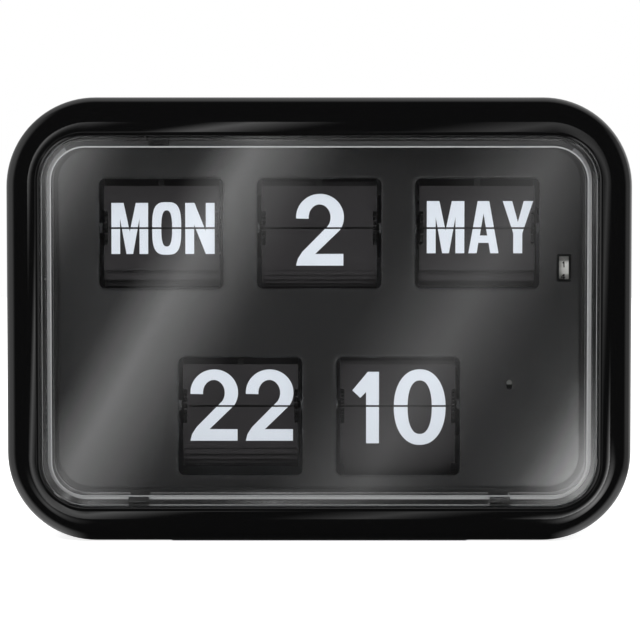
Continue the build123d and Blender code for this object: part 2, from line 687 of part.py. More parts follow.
# Chassis plate: carries the brackets, the motor and the ears of the calendar rocker
THUMB_GAP_W = THUMB_T + GEAR_T + GEAR_OFFSET + BRACKET_T + 2 * CUTOUT_PLAY
THUMB_GAP_H = 2 * (THUMB_R + THUMB_RIB_H + CUTOUT_PLAY)
with BuildPart() as chassis_plate:
    with BuildSketch(at_depth(CHASSIS_REAR_Y)):
        with Locations((0, CASE_MID_Z)):
            RectangleRounded(CHASSIS_W, INNER_H - 2 * CHASSIS_EDGE_PLAY, CHASSIS_R)
        with Locations((CELL_X, CELL_Z)):
            Rectangle(
                POCKET_W + 2 * (POCKET_WALL + CUTOUT_PLAY),
                POCKET_H + 2 * (POCKET_WALL + CUTOUT_PLAY),
                mode=Mode.SUBTRACT,
            )
        with Locations((MINUTE.x + CHEEK_IN - CUTOUT_PLAY, MINUTE.z)):
            Rectangle(THUMB_GAP_W, THUMB_GAP_H, align=(Align.MIN, Align.CENTER), mode=Mode.SUBTRACT)
        with Locations(*[(drum.x + BUTTON_X_OFFSET, drum.z + BUTTON_RISE) for drum in CALENDAR]):
            Circle(BUTTON_ROD_D / 2 + BUTTON_HOLE_PLAY, mode=Mode.SUBTRACT)
        with Locations(*CHASSIS_BOSSES):
            RegularPolygon(SCREW_BORE_D / 2, SCREW_SIDES, mode=Mode.SUBTRACT)
    extrude(amount=CHASSIS_T)
    for x in (-ROCKER_EAR_X, ROCKER_EAR_X):
        with BuildSketch(across(x - ROCKER_EAR_T / 2)):
            with BuildLine():
                Polyline(
                    (CHASSIS_FRONT_Y, ROCKER_Z - 2 * ROCKER_D),
                    (CHASSIS_FRONT_Y, ROCKER_Z + 2 * ROCKER_D),
                    (ROCKER_Y, ROCKER_Z + ROCKER_D),
                    (ROCKER_Y, ROCKER_Z - ROCKER_D),
                    close=True,
                )
            make_face()
            with Locations((ROCKER_Y, ROCKER_Z)):
                RegularPolygon(ROCKER_D, ARM_SIDES)
                Circle(ROCKER_D / 2 + RUN_FIT, mode=Mode.SUBTRACT)
        extrude(amount=ROCKER_EAR_T)
save(chassis_plate, "chassis_plate")

save(screw_set(CHASSIS_BOSSES, CHASSIS_REAR_Y), "chassis_screws")

# Pillars between the chassis and the dial
with BuildPart() as dial_pillars:
    with BuildSketch(at_depth(CHASSIS_FRONT_Y)):
        with Locations(*PILLARS):
            RegularPolygon(PILLAR_D / 2, PILLAR_SIDES)
    extrude(amount=CHASSIS_FRONT_Y - DIAL_REAR_Y)
save(dial_pillars, "dial_pillars")

# Gear motor with two ears that carry the running indicator
INDICATOR_IN = PEEPHOLE_X - INDICATOR_W / 2 - SIDE_PLAY
INDICATOR_OUT = PEEPHOLE_X + INDICATOR_W / 2 + SIDE_PLAY
with BuildPart() as motor_case:
    with BuildSketch(across(MOTOR_X)):
        with Locations((MOTOR_FRONT_Y, MOTOR_LOW_Z)):
            Rectangle(CHASSIS_FRONT_Y - MOTOR_FRONT_Y, MOTOR_H, align=(Align.MIN, Align.MIN))
    extrude(amount=MOTOR_W)
    chamfer(motor_case.edges().filter_by(Axis.X), MOTOR_CHAMFER)
    for x in (INDICATOR_IN - INDICATOR_EAR_T, INDICATOR_OUT):
        with BuildSketch(across(x)):
            with Locations((INDICATOR_Y, PEEPHOLE_Z)):
                Rectangle(MOTOR_FRONT_Y - INDICATOR_Y + CUT, INDICATOR_EAR_H, align=(Align.MIN, Align.CENTER))
                Circle(INDICATOR_EAR_H / 2)
                Circle(INDICATOR_SHAFT_D / 2 + RUN_FIT, mode=Mode.SUBTRACT)
        extrude(amount=INDICATOR_EAR_T)
    with BuildSketch(across(MOTOR_X)):
        with Locations((MOTOR_SHAFT_Y, MOTOR_SHAFT_Z)):
            Circle(STUB_D / 2 + RUN_FIT)
    extrude(amount=GEAR_T, mode=Mode.SUBTRACT)
save(motor_case, "motor_case")

# Motor pinion on its shaft; half a tooth is turned towards the minute wheel's gap
MOTOR_MESH = MOTOR_ANGLE * MINUTE_TEETH / 360
MOTOR_TOOTH_AT = MOTOR_ANGLE + 180 + (MOTOR_MESH % 1 - 0.5) * 360 / MOTOR_TEETH
with BuildPart() as motor_pinion:
    motor_axis = (MOTOR_SHAFT_Y, MOTOR_SHAFT_Z)
    gear_x = MINUTE.x + GEAR_X_OFFSET
    add(prism(gear_points(MOTOR_TEETH, motor_axis, MOTOR_TOOTH_AT), gear_x, GEAR_T))
    add(rod(motor_axis, STUB_D, gear_x, MOTOR_X + GEAR_T - SIDE_PLAY - gear_x))
save(motor_pinion, "motor_pinion")

# Running indicator: small barrel that turns behind the peephole
with BuildPart() as run_indicator:
    indicator_axis = (INDICATOR_Y, PEEPHOLE_Z)
    add(sided_bar(indicator_axis, 2 * INDICATOR_R, INDICATOR_SIDES, PEEPHOLE_X - INDICATOR_W / 2, INDICATOR_W))
    shaft_x = INDICATOR_IN - INDICATOR_EAR_T
    add(rod(indicator_axis, INDICATOR_SHAFT_D, shaft_x, INDICATOR_OUT + INDICATOR_EAR_T - shaft_x))
save(run_indicator, "run_indicator")


def bored_gear(teeth, centre, tooth_at, x):
    """Gear that turns on a fixed stub."""
    with BuildPart() as wheel:
        add(prism(gear_points(teeth, centre, tooth_at), x, GEAR_T))
        add(rod(centre, STUB_D + 2 * RUN_FIT, x - CUT, GEAR_T + 2 * CUT), mode=Mode.SUBTRACT)
    return wheel


# Carry gear behind the hour wheel, half a tooth out of step with it
save(bored_gear(CARRY_TEETH, (CARRY_Y, HOUR.z), 180 + 180 / CARRY_TEETH, HOUR.x + GEAR_X_OFFSET), "carry_gear")

# Time set wheel: gear on the minute wheel and a ribbed thumb rim that stands out of the rear cover
with BuildPart() as time_set_wheel:
    setting_axis = (SETTING_Y, MINUTE.z)
    setting_tooth_at = 180 + 180 / SETTING_TEETH
    add(prism(gear_points(SETTING_TEETH, setting_axis, setting_tooth_at), MINUTE.x + GEAR_X_OFFSET, GEAR_T))
    ribs = star_points(THUMB_RIBS, THUMB_R, THUMB_R - THUMB_RIB_H, 0, setting_axis)
    add(prism(ribs, THUMB_X, THUMB_T))
    bore_x = MINUTE.x + GEAR_X_OFFSET - CUT
    add(rod(setting_axis, STUB_D + 2 * RUN_FIT, bore_x, STUB_END_X + CUT - bore_x), mode=Mode.SUBTRACT)
save(time_set_wheel, "time_set_wheel")

# Leap year wheel on a stub of the month bracket
with BuildPart() as leap_year_wheel:
    with BuildSketch(across(LEAP_X - LEAP_W / 2)):
        with Locations((LEAP_Y, LEAP_Z)):
            RegularPolygon(LEAP_R, LEAP_SIDES)
            Circle(STUB_D / 2 + RUN_FIT, mode=Mode.SUBTRACT)
    extrude(amount=LEAP_W)
save(leap_year_wheel, "leap_year_wheel")

# Calendar rocker: a long shaft, an arm down to the hour wheel and a pawl arm to two star wheels
with BuildPart() as calendar_rocker:
    rocker_axis = (ROCKER_Y, ROCKER_Z)
    add(rod(rocker_axis, ROCKER_D, ROCKER_LEFT_X, ROCKER_RIGHT_X - ROCKER_LEFT_X))
    arm_x = HOUR.x + GEAR_X_OFFSET
    arm_end = (ROCKER_Y - ROCKER_AHEAD, ROCKER_Z - ROCKER_DROP)
    add(link(rocker_axis, ROCKER_ARM_R, arm_end, ROCKER_TIP_R, arm_x, ROCKER_ARM_T))
    for drum in (WEEKDAY, DATE):
        span = sqrt((ROCKER_Y - drum.y) ** 2 + (ROCKER_Z - drum.z) ** 2)
        tip_share = (STAR_R + ROCKER_CLEAR) / span
        tip = (drum.y + (ROCKER_Y - drum.y) * tip_share, drum.z + (ROCKER_Z - drum.z) * tip_share)
        add(link(rocker_axis, ROCKER_ARM_R, tip, ROCKER_TIP_R, drum.x + STAR_X_OFFSET, ROCKER_ARM_T))
save(calendar_rocker, "calendar_rocker")

# Rear cover: recessed plate with the battery pocket, door rails, keyholes and openings for the controls
DOOR_W = POCKET_W + 2 * DOOR_LAP
DOOR_H = POCKET_H + 2 * DOOR_LAP
DOOR_IN_Y = COVER_OUT_Y + DOOR_PLAY
RAIL_L = DOOR_W
RAIL_UP_Y = DOOR_IN_Y + DOOR_T + DOOR_PLAY + RAIL_T
RAIL_FOOT_Z = DOOR_H / 2 + DOOR_PLAY
THUMB_SLOT_H = 2 * (sqrt(THUMB_R ** 2 - (COVER_IN_Y - SETTING_Y) ** 2) + THUMB_SLOT_PLAY)
with BuildPart() as rear_cover:
    with BuildSketch(at_depth(COVER_OUT_Y)):
        with Locations((0, CASE_MID_Z)):
            RectangleRounded(INNER_W - 2 * COVER_PLAY, INNER_H - 2 * COVER_PLAY, INNER_R - COVER_PLAY)
    extrude(amount=COVER_T)
    with BuildSketch(at_depth(COVER_OUT_Y)):
        with Locations((CELL_X, CELL_Z)):
            Rectangle(POCKET_W + 2 * POCKET_WALL, POCKET_H + 2 * POCKET_WALL)
    extrude(amount=POCKET_DEPTH + POCKET_WALL)
    with BuildSketch(at_depth(COVER_OUT_Y)):
        with Locations((CELL_X, CELL_Z)):
            Rectangle(POCKET_W, POCKET_H)
    extrude(amount=POCKET_DEPTH, mode=Mode.SUBTRACT)
    for side in (-1, 1):
        with BuildSketch(across(CELL_X - RAIL_L / 2)):
            with BuildLine():
                Polyline(
                    (COVER_OUT_Y, CELL_Z + side * RAIL_FOOT_Z),
                    (RAIL_UP_Y - RAIL_T, CELL_Z + side * RAIL_FOOT_Z),
                    (RAIL_UP_Y - RAIL_T, CELL_Z + side * (RAIL_FOOT_Z - RAIL_LIP)),
                    (RAIL_UP_Y, CELL_Z + side * (RAIL_FOOT_Z - RAIL_LIP)),
                    (RAIL_UP_Y, CELL_Z + side * (RAIL_FOOT_Z + RAIL_W)),
                    (COVER_OUT_Y, CELL_Z + side * (RAIL_FOOT_Z + RAIL_W)),
                    close=True,
                )
            make_face()
        extrude(amount=RAIL_L)
    with BuildSketch(at_depth(COVER_OUT_Y)):
        for side in (-1, 1):
            with Locations((side * KEYHOLE_X, KEYHOLE_Z)):
                Circle(KEYHOLE_D / 2)
            with Locations((side * KEYHOLE_X, KEYHOLE_Z + KEYHOLE_RISE / 2)):
                SlotCenterToCenter(KEYHOLE_RISE, KEYHOLE_SLOT_W, rotation=90)
        with Locations((THUMB_X + THUMB_T / 2, MINUTE.z)):
            Rectangle(THUMB_T + 2 * THUMB_SLOT_PLAY, THUMB_SLOT_H)
        with Locations(*[(drum.x + BUTTON_X_OFFSET, drum.z + BUTTON_RISE) for drum in CALENDAR]):
            Circle(BUTTON_D / 2 + BUTTON_HOLE_PLAY)
        with Locations(*COVER_BOSSES):
            RegularPolygon(SCREW_BORE_D / 2, SCREW_SIDES)
    extrude(amount=COVER_T, mode=Mode.SUBTRACT)
save(rear_cover, "rear_cover")
save(screw_set(COVER_BOSSES, COVER_OUT_Y), "rear_cover_screws")

# Battery door: plate that slides in the rails, with finger ribs
with BuildPart() as battery_door:
    with BuildSketch(at_depth(DOOR_IN_Y)):
        with Locations((CELL_X, CELL_Z)):
            Rectangle(DOOR_W, DOOR_H)
    extrude(amount=-DOOR_T)
    with BuildSketch(at_depth(DOOR_IN_Y + DOOR_T)):
        with Locations((CELL_X + DOOR_W / 2 - DOOR_GRIPS * DOOR_GRIP_PITCH, CELL_Z)):
            with GridLocations(DOOR_GRIP_PITCH, 0, DOOR_GRIPS, 1):
                Rectangle(DOOR_GRIP_W, DOOR_H / 2)
    extrude(amount=-DOOR_GRIP_H)
save(battery_door, "battery_door")

# Battery and its two contact strips
CELL_BODY_X = CELL_X - CELL_L / 2
with BuildPart() as battery_cell:
    add(rod((CELL_Y, CELL_Z), CELL_D, CELL_BODY_X, CELL_L - CELL_NUB_L))
    add(rod((CELL_Y, CELL_Z), CELL_NUB_D, CELL_BODY_X, CELL_L))
save(battery_cell, "battery_cell")

with BuildPart() as battery_contacts:
    for side in (-1, 1):
        strip_x = CELL_X + side * (POCKET_W / 2 - CONTACT_T / 2)
        with BuildSketch(across(strip_x)):
            with Locations((CELL_Y, CELL_Z)):
                Rectangle(CONTACT_H, CONTACT_W)
        extrude(amount=CONTACT_T / 2, both=True)
        bump_len = CONTACT_T / 2 + CONTACT_GAP - CONTACT_PLAY
        with BuildSketch(across(strip_x)):
            with Locations((CELL_Y, CELL_Z)):
                Circle(CONTACT_BUMP_D / 2)
        extrude(amount=-side * bump_len)
save(battery_contacts, "battery_contacts")


def set_button(drum):
    """Push button in the rear cover: cap, flange inside the cover and a rod towards the star wheel."""
    x = drum.x + BUTTON_X_OFFSET
    z = drum.z + BUTTON_RISE
    rod_low = BUTTON_RISE - BUTTON_ROD_D / 2
    tip_y = drum.y + sqrt(STAR_R ** 2 - rod_low ** 2) + BUTTON_TRAVEL + BUTTON_TIP_PLAY
    cap_y = COVER_OUT_Y + BUTTON_PROUD
    flange_y = COVER_IN_Y - BUTTON_HOLE_PLAY
    with BuildPart() as button:
        with BuildSketch(at_depth(cap_y)):
            with Locations((x, z)):
                RegularPolygon(BUTTON_D / 2, BUTTON_SIDES)
        extrude(amount=cap_y - flange_y)
        chamfer(button.faces().sort_by(Axis.Y)[-1].edges(), BUTTON_CHAMFER)
        with BuildSketch(at_depth(flange_y)):
            with Locations((x, z)):
                RegularPolygon(BUTTON_FLANGE_D / 2, BUTTON_ROD_SIDES)
        extrude(amount=BUTTON_FLANGE_T)
        with BuildSketch(at_depth(flange_y)):
            with Locations((x, z)):
                RegularPolygon(BUTTON_ROD_D / 2, BUTTON_ROD_SIDES)
        extrude(amount=flange_y - tip_y)
    return button


for drum in CALENDAR:
    save(set_button(drum), f"{drum.name}_set_button")
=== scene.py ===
"""Calendar flip clock: case skin, lens, printed leaves, finishes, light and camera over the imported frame."""
import json
from math import cos, pi, radians, sin

import bmesh
import bpy
from mathutils import Matrix, Vector
from mathutils.geometry import delaunay_2d_cdt


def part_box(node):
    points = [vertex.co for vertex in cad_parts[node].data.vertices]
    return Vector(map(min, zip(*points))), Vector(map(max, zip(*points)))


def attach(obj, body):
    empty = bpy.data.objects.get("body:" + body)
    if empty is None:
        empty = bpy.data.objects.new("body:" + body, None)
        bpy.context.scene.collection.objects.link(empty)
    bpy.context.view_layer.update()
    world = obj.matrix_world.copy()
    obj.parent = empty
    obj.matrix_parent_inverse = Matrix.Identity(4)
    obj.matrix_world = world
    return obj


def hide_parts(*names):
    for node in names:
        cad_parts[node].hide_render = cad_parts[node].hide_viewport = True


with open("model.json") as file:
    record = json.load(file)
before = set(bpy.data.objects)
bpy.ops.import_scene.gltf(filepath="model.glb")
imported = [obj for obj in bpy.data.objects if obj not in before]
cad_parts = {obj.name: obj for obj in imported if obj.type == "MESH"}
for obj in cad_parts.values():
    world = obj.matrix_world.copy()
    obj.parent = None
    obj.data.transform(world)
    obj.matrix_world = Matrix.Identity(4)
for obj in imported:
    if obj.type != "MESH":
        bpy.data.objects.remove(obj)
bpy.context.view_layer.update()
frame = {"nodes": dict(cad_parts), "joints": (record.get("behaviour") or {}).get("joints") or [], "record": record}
NODES = frame["nodes"]
JOINTS = {joint["name"]: joint for joint in frame["joints"]}

# Places read from the frame, in metres
CASE_LOW, CASE_HIGH = (Vector(corner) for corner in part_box("case_shell"))
FRONT_Y = CASE_LOW.y
REAR_Y = CASE_HIGH.y
LENS_FRONT_Y = Vector(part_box("front_lens")[0]).y
DIAL_REAR_Y = Vector(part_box("dial_plate")[1]).y

# Case skin
CASE_CORNER_R = 0.0475
CASE_WALL = 0.003
FOOT_H = 0.0006
EDGE_R = 0.008
EDGE_DEPTH = 0.006
REAR_EDGE_R = 0.0012
BEZEL_SIDE_W = 0.018
BEZEL_TOP_W = 0.0208
BEZEL_LOW_W = 0.0183
BEZEL_T = 0.004
LIP_R = 0.0024
OPENING_R = 0.024
FOOT_L = 0.157
FOOT_SLANT = 0.0016
FOOT_BEVEL = 0.00015

# Lens and the dial's clips in its notches
LENS_GAP = 0.0006
LENS_RIM = 0.0045
LENS_T = 0.0025
LENS_FLANGE = 0.0016
LENS_FLANGE_T = 0.002
LENS_EDGE_R = 0.0008
LENS_INNER_R = 0.0008
LENS_CLEAR_EDGE = 0.0016
LENS_SEAT = 0.00005
CLIP_W = 0.0104
CLIP_PLAY = 0.0003
CLIP_DEPTH = 0.013
CLIP_LOW_INSET = 0.0511
CLIP_TOP_INSET = 0.0622
CLIP_T = 0.0032
CLIP_BEVEL = 0.0002

# Dial: windows with rolled edges, which reach up and down from the drums' axles, and the two small openings
DIAL_T = 0.002
DIAL_MARGIN = 0.002
WINDOW_W = 0.0666
WINDOW_UP = 0.0265
CALENDAR_DOWN = 0.0324
TIME_DOWN = 0.0371
WINDOW_DOWN = {
    "weekday": CALENDAR_DOWN,
    "date": CALENDAR_DOWN,
    "month": CALENDAR_DOWN,
    "hour": TIME_DOWN,
    "minute": TIME_DOWN,
}
WINDOW_R = 0.003
WINDOW_ROLL = 0.0015
LEAP_W = 0.007
LEAP_H = 0.0142
LEAP_R = 0.0008
LEAP_FRAME_LAP = 0.0004
LEAP_FRAME_W = 0.0009
LEAP_FRAME_R = 0.0003
LEAP_FRAME_T = 0.0002
PEEPHOLE_W = 0.003
PEEPHOLE_H = 0.0052

# Fineness of the round stretches
CORNER_STEPS = 24
EDGE_STEPS = 10
ARC_STEPS = 28
BEVEL_SEGMENTS = 2
SHARP_ANGLE = radians(35)


def link_object(name, data):
    """New object in the scene."""
    made = bpy.data.objects.new(name, data)
    bpy.context.scene.collection.objects.link(made)
    return made


def add_piece(name, mesh, body, slot, *replaced, own_finish=None):
    """A piece that rides on a body, takes a record slot's finish or its own, and may stand for CAD nodes."""
    piece = link_object(name, mesh)
    piece.data.materials.append(FINISHES[own_finish or slot])
    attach(piece, body)
    if replaced:
        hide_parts(*replaced)
    return piece


# Shader nodes
FLOAT = "NodeSocketFloat"
COLOUR = "NodeSocketColor"
WHITE = (1.0, 1.0, 1.0, 1.0)
MIX_SHARE, MIX_FIRST, MIX_SECOND = 0, 6, 7
MIX_RESULT = 2


def feed(tree, value, socket):
    """Links a socket to another one, or sets it to a plain value."""
    if isinstance(value, bpy.types.NodeSocket):
        tree.links.new(value, socket)
    else:
        socket.default_value = value


def operation_node(tree, kind, operation, first, second):
    """Node that works on two inputs, each a socket or a plain value; returns its outputs."""
    node = tree.nodes.new(kind)
    node.operation = operation
    for socket, value in zip(node.inputs, (first, second)):
        feed(tree, value, socket)
    return node.outputs


def math_node(tree, operation, first, second):
    """Result of a calculation with numbers."""
    return operation_node(tree, "ShaderNodeMath", operation, first, second)[0]


def vector_node(tree, operation, first, second, result="Value"):
    """Result of a calculation with vectors: a number, or a vector where that is asked for."""
    return operation_node(tree, "ShaderNodeVectorMath", operation, first, second)[result]


def product(tree, first, *others):
    """Product of sockets and numbers."""
    for other in others:
        first = math_node(tree, "MULTIPLY", first, other)
    return first


def own_place(tree):
    """Place on the object, in its own coordinates."""
    return tree.nodes.new("ShaderNodeTexCoord").outputs["Object"]


def noise_node(tree, scale, detail):
    """Noise over the object's own coordinates; scale is a socket or a number."""
    noise = tree.nodes.new("ShaderNodeTexNoise")
    noise.inputs["Detail"].default_value = detail
    tree.links.new(own_place(tree), noise.inputs["Vector"])
    feed(tree, scale, noise.inputs["Scale"])
    return noise.outputs["Fac"]


def blend_node(tree, share, first, second):
    """Colour mix; the colours are sockets or values."""
    node = tree.nodes.new("ShaderNodeMix")
    node.data_type = "RGBA"
    for number, value in ((MIX_SHARE, share), (MIX_FIRST, first), (MIX_SECOND, second)):
        feed(tree, value, node.inputs[number])
    return node.outputs[MIX_RESULT]


def range_node(tree, value, start, end):
    """Node that takes a value from 0 at start to 1 at end."""
    node = tree.nodes.new("ShaderNodeMapRange")
    tree.links.new(value, node.inputs["Value"])
    node.inputs["From Min"].default_value = start
    node.inputs["From Max"].default_value = end
    return node


def power_ramp(tree, value, start, end, power):
    """Output that goes from 0 at start to 1 at end, curved by a power."""
    return math_node(tree, "POWER", range_node(tree, value, start, end).outputs[0], power)


def soft_ramp(tree, value, span, low, high):
    """Output that goes softly from low to high while the value goes through the span."""
    node = range_node(tree, value, *span)
    node.interpolation_type = "SMOOTHSTEP"
    node.inputs["To Min"].default_value = low
    node.inputs["To Max"].default_value = high
    return node.outputs[0]


def new_material(name):
    """New material with its node tree and its shader."""
    material = bpy.data.materials.new(name)
    material.use_nodes = True
    tree = material.node_tree
    return material, tree, tree.nodes["Principled BSDF"]


def show_surface(tree, kind, *parts):
    """Puts shaders, and a share before them where the kind of node needs one, together as the surface."""
    node = tree.nodes.new(kind)
    for part, socket in zip(parts, node.inputs):
        tree.links.new(part, socket)
    tree.links.new(node.outputs[0], tree.nodes["Material Output"].inputs["Surface"])


def clear_shader(tree):
    """Shader that lets everything through."""
    return tree.nodes.new("ShaderNodeBsdfTransparent").outputs[0]


def mirrored_rays(tree, path):
    """Share that is 1 for what shows in a gloss or through the lens."""
    return math_node(tree, "MAXIMUM", path.outputs["Is Glossy Ray"], path.outputs["Is Transmission Ray"])


# Effects that the finishes share
GRAIN_DETAIL = 4.0
HANDLING_SCALE = 9.0
HANDLING_DETAIL = 5.0
EDGE_BAND_WIDTH = 0.0005
EDGE_BAND_SAMPLES = 4
EDGE_BAND_START = 0.01
EDGE_BAND_END = 0.12
EDGE_BAND_SCALE = 160.0


def new_group(name, inputs, outputs):
    """Empty shader node group with named sockets; returns it with the sockets given to it and made by it."""
    group = bpy.data.node_groups.new(name, "ShaderNodeTree")
    for label, kind in inputs:
        group.interface.new_socket(label, in_out="INPUT", socket_type=kind)
    for label, kind in outputs:
        group.interface.new_socket(label, in_out="OUTPUT", socket_type=kind)
    source = group.nodes.new("NodeGroupInput")
    target = group.nodes.new("NodeGroupOutput")
    return group, source.outputs, target.inputs


def build_grain():
    """Fine grain: a colour that varies a little from spot to spot, and a height for bump."""
    inputs = (("Light", COLOUR), ("Dark", COLOUR), ("Scale", FLOAT))
    group, given, made = new_group("fine_grain", inputs, (("Colour", COLOUR), ("Height", FLOAT)))
    noise = noise_node(group, given["Scale"], GRAIN_DETAIL)
    group.links.new(blend_node(group, noise, given["Dark"], given["Light"]), made["Colour"])
    group.links.new(noise, made["Height"])
    return group


def build_handling():
    """Handling marks: gloss that drifts over a hand's width."""
    inputs = (("Smooth", FLOAT), ("Spread", FLOAT))
    group, given, made = new_group("handling_marks", inputs, (("Roughness", FLOAT),))
    spread = product(group, noise_node(group, HANDLING_SCALE, HANDLING_DETAIL), given["Spread"])
    group.links.new(math_node(group, "ADD", given["Smooth"], spread), made["Roughness"])
    return group


def build_edge_wear_and_highlight():
    """Edge wear and painted highlight: the edge colour shows in a narrow band along sharp edges, broken up by
    noise.
    """
    inputs = (("Colour", COLOUR), ("Worn", COLOUR), ("Amount", FLOAT))
    group, given, made = new_group("edge_wear_and_highlight", inputs, (("Colour", COLOUR),))
    shape = group.nodes.new("ShaderNodeNewGeometry")
    rounded = group.nodes.new("ShaderNodeBevel")
    rounded.samples = EDGE_BAND_SAMPLES
    rounded.inputs["Radius"].default_value = EDGE_BAND_WIDTH
    likeness = vector_node(group, "DOT_PRODUCT", shape.outputs["Normal"], rounded.outputs["Normal"])
    bend = math_node(group, "SUBTRACT", 1.0, likeness)
    edge = range_node(group, bend, EDGE_BAND_START, EDGE_BAND_END).outputs[0]
    share = product(group, edge, noise_node(group, EDGE_BAND_SCALE, GRAIN_DETAIL), given["Amount"])
    group.links.new(blend_node(group, share, given["Colour"], given["Worn"]), made["Colour"])
    return group


GRAIN = build_grain()
HANDLING = build_handling()
EDGE_WEAR_AND_HIGHLIGHT = build_edge_wear_and_highlight()

# For each finish: colour, least roughness and its spread, then the grain's scale, height in metres and share
LOOKS = {
    "case_black": ((0.0018, 0.0018, 0.0019), 0.012, 0.02, 700, 0.000001, 0.2),
    "dial_grey": ((0.0165, 0.0165, 0.0168), 0.08, 0.05, 2600, 0.0000005, 0.2),
    "cover_black": ((0.02, 0.02, 0.021), 0.5, 0.2, 1500, 0.00008, 0.3),
    "screw_steel": ((0.55, 0.55, 0.53), 0.22, 0.2, 1800, 0.00001, 0.15),
    "cell_wrap": ((0.16, 0.17, 0.19), 0.25, 0.15, 300, 0.000004, 0.1),
    "contact_brass": ((0.72, 0.68, 0.58), 0.2, 0.2, 900, 0.000006, 0.1),
    "plate_steel": ((0.42, 0.43, 0.45), 0.3, 0.2, 500, 0.00001, 0.12),
    "pillar_brass": ((0.7, 0.53, 0.26), 0.25, 0.15, 1200, 0.000006, 0.1),
    "finger_steel": ((0.005, 0.005, 0.005), 0.4, 0.15, 900, 0.000006, 0.2),
    "motor_grey": ((0.2, 0.21, 0.22), 0.45, 0.2, 1200, 0.00005, 0.12),
    "gear_brass": ((0.72, 0.55, 0.25), 0.25, 0.15, 1100, 0.000008, 0.1),
    "gear_white": ((0.78, 0.77, 0.72), 0.4, 0.15, 900, 0.00001, 0.05),
    "indicator_grey": ((0.5, 0.5, 0.48), 0.45, 0.1, 900, 0.00001, 0.08),
    "control_black": ((0.018, 0.018, 0.019), 0.42, 0.2, 1500, 0.00006, 0.2),
    "leap_white": ((0.8, 0.8, 0.77), 0.5, 0.1, 900, 0.00001, 0.04),
    "rocker_steel": ((0.5, 0.5, 0.5), 0.3, 0.2, 700, 0.000008, 0.1),
    "drum_black": ((0.007, 0.007, 0.007), 0.45, 0.15, 1300, 0.00002, 0.2),
    "leaf_grey": ((0.0275, 0.026, 0.0275), 0.5, 0.14, 2200, 0.000006, 0.18),
    "print_white": ((0.74, 0.79, 0.86), 0.5, 0.12, 1500, 0.000008, 0.03),
    # Black ink for print, also used for painted shade along the leaves' hinge edges
    "black_print_and_painted_shade": ((0.0025, 0.0025, 0.0026), 0.5, 0.12, 1500, 0.000008, 0.1),
    # Light grey edge band of the lens: painted light for the bright rim that its walls show
    "lens_edge_painted_light": ((0.42, 0.425, 0.43), 0.3, 0.2, 900, 0.00001, 0.2),
    # Darker copy of the lens edge band: painted shade for its top stretch under the bezel
    "lens_edge_painted_shade": ((0.1, 0.101, 0.103), 0.3, 0.2, 900, 0.00001, 0.2),
}
BARE_METALS = ("screw_steel", "contact_brass", "plate_steel", "pillar_brass", "gear_brass", "rocker_steel")
PLAIN_SHEEN = 0.5
SHEENS = {"case_black": 0.62, "dial_grey": 0.8, "leaf_grey": 0.15, "black_print_and_painted_shade": 0.2}
# Colour along the edges, and how much of it shows: wear, and on the leaves also a painted highlight of their
# stacked edges catching the light
GREY_WEAR_AND_HIGHLIGHT = (0.22, 0.22, 0.22)
BRIGHT_WORN = (0.75, 0.74, 0.72)
EDGE_WEAR_AND_HIGHLIGHT_SHARES = {
    "cover_black": (GREY_WEAR_AND_HIGHLIGHT, 0.5),
    "cell_wrap": (GREY_WEAR_AND_HIGHLIGHT, 0.5),
    "plate_steel": (BRIGHT_WORN, 0.6),
    "finger_steel": (GREY_WEAR_AND_HIGHLIGHT, 0.06),
    "motor_grey": (GREY_WEAR_AND_HIGHLIGHT, 0.3),
    "control_black": (GREY_WEAR_AND_HIGHLIGHT, 0.4),
    "drum_black": (GREY_WEAR_AND_HIGHLIGHT, 0.12),
    # On the leaves the lighter edges are partly wear and partly a painted highlight of the stacked edges catching
    # the light
    "leaf_grey": (GREY_WEAR_AND_HIGHLIGHT, 0.16),
}
LENS_IOR = 1.49
LENS_TINT = (0.985, 0.99, 0.99, 1.0)
LENS_HAZE = 0.004
INDICATOR_STRIPES = 6
INDICATOR_DARK = (0.012, 0.012, 0.012)


def place_group(tree, group, **values):
    """Group node with its inputs set by name; a value may be a socket."""
    node = tree.nodes.new("ShaderNodeGroup")
    node.node_tree = group
    for label, value in values.items():
        feed(tree, value, node.inputs[label])
    return node.outputs


def shade(colour, share):
    """The colour made lighter or darker by a share, with full alpha."""
    return tuple(min(1.0, channel * share) for channel in colour) + (1.0,)


def finish(name):
    """Material with grain, handling marks, bump and, where an edge colour is given, edge wear, which on the leaves
    is also a painted highlight.
    """
    colour, smooth, spread, grain_scale, grain_height, grain_share = LOOKS[name]
    material, tree, shader = new_material(name)
    light = shade(colour, 1 + grain_share)
    dark = shade(colour, 1 - grain_share)
    grain = place_group(tree, GRAIN, Light=light, Dark=dark, Scale=grain_scale)
    tint = grain["Colour"]
    if name in EDGE_WEAR_AND_HIGHLIGHT_SHARES:
        edge_tone, edge_share = EDGE_WEAR_AND_HIGHLIGHT_SHARES[name]
        tint = place_group(tree, EDGE_WEAR_AND_HIGHLIGHT, Colour=tint, Worn=shade(edge_tone, 1), Amount=edge_share)["Colour"]
    tree.links.new(tint, shader.inputs["Base Color"])
    rough = place_group(tree, HANDLING, Smooth=smooth, Spread=spread)
    tree.links.new(rough["Roughness"], shader.inputs["Roughness"])
    bump = tree.nodes.new("ShaderNodeBump")
    bump.inputs["Distance"].default_value = grain_height
    tree.links.new(grain["Height"], bump.inputs["Height"])
    tree.links.new(bump.outputs["Normal"], shader.inputs["Normal"])
    shader.inputs["Metallic"].default_value = 1.0 if name in BARE_METALS else 0.0
    shader.inputs["Specular IOR Level"].default_value = SHEENS.get(name, PLAIN_SHEEN)
    return material


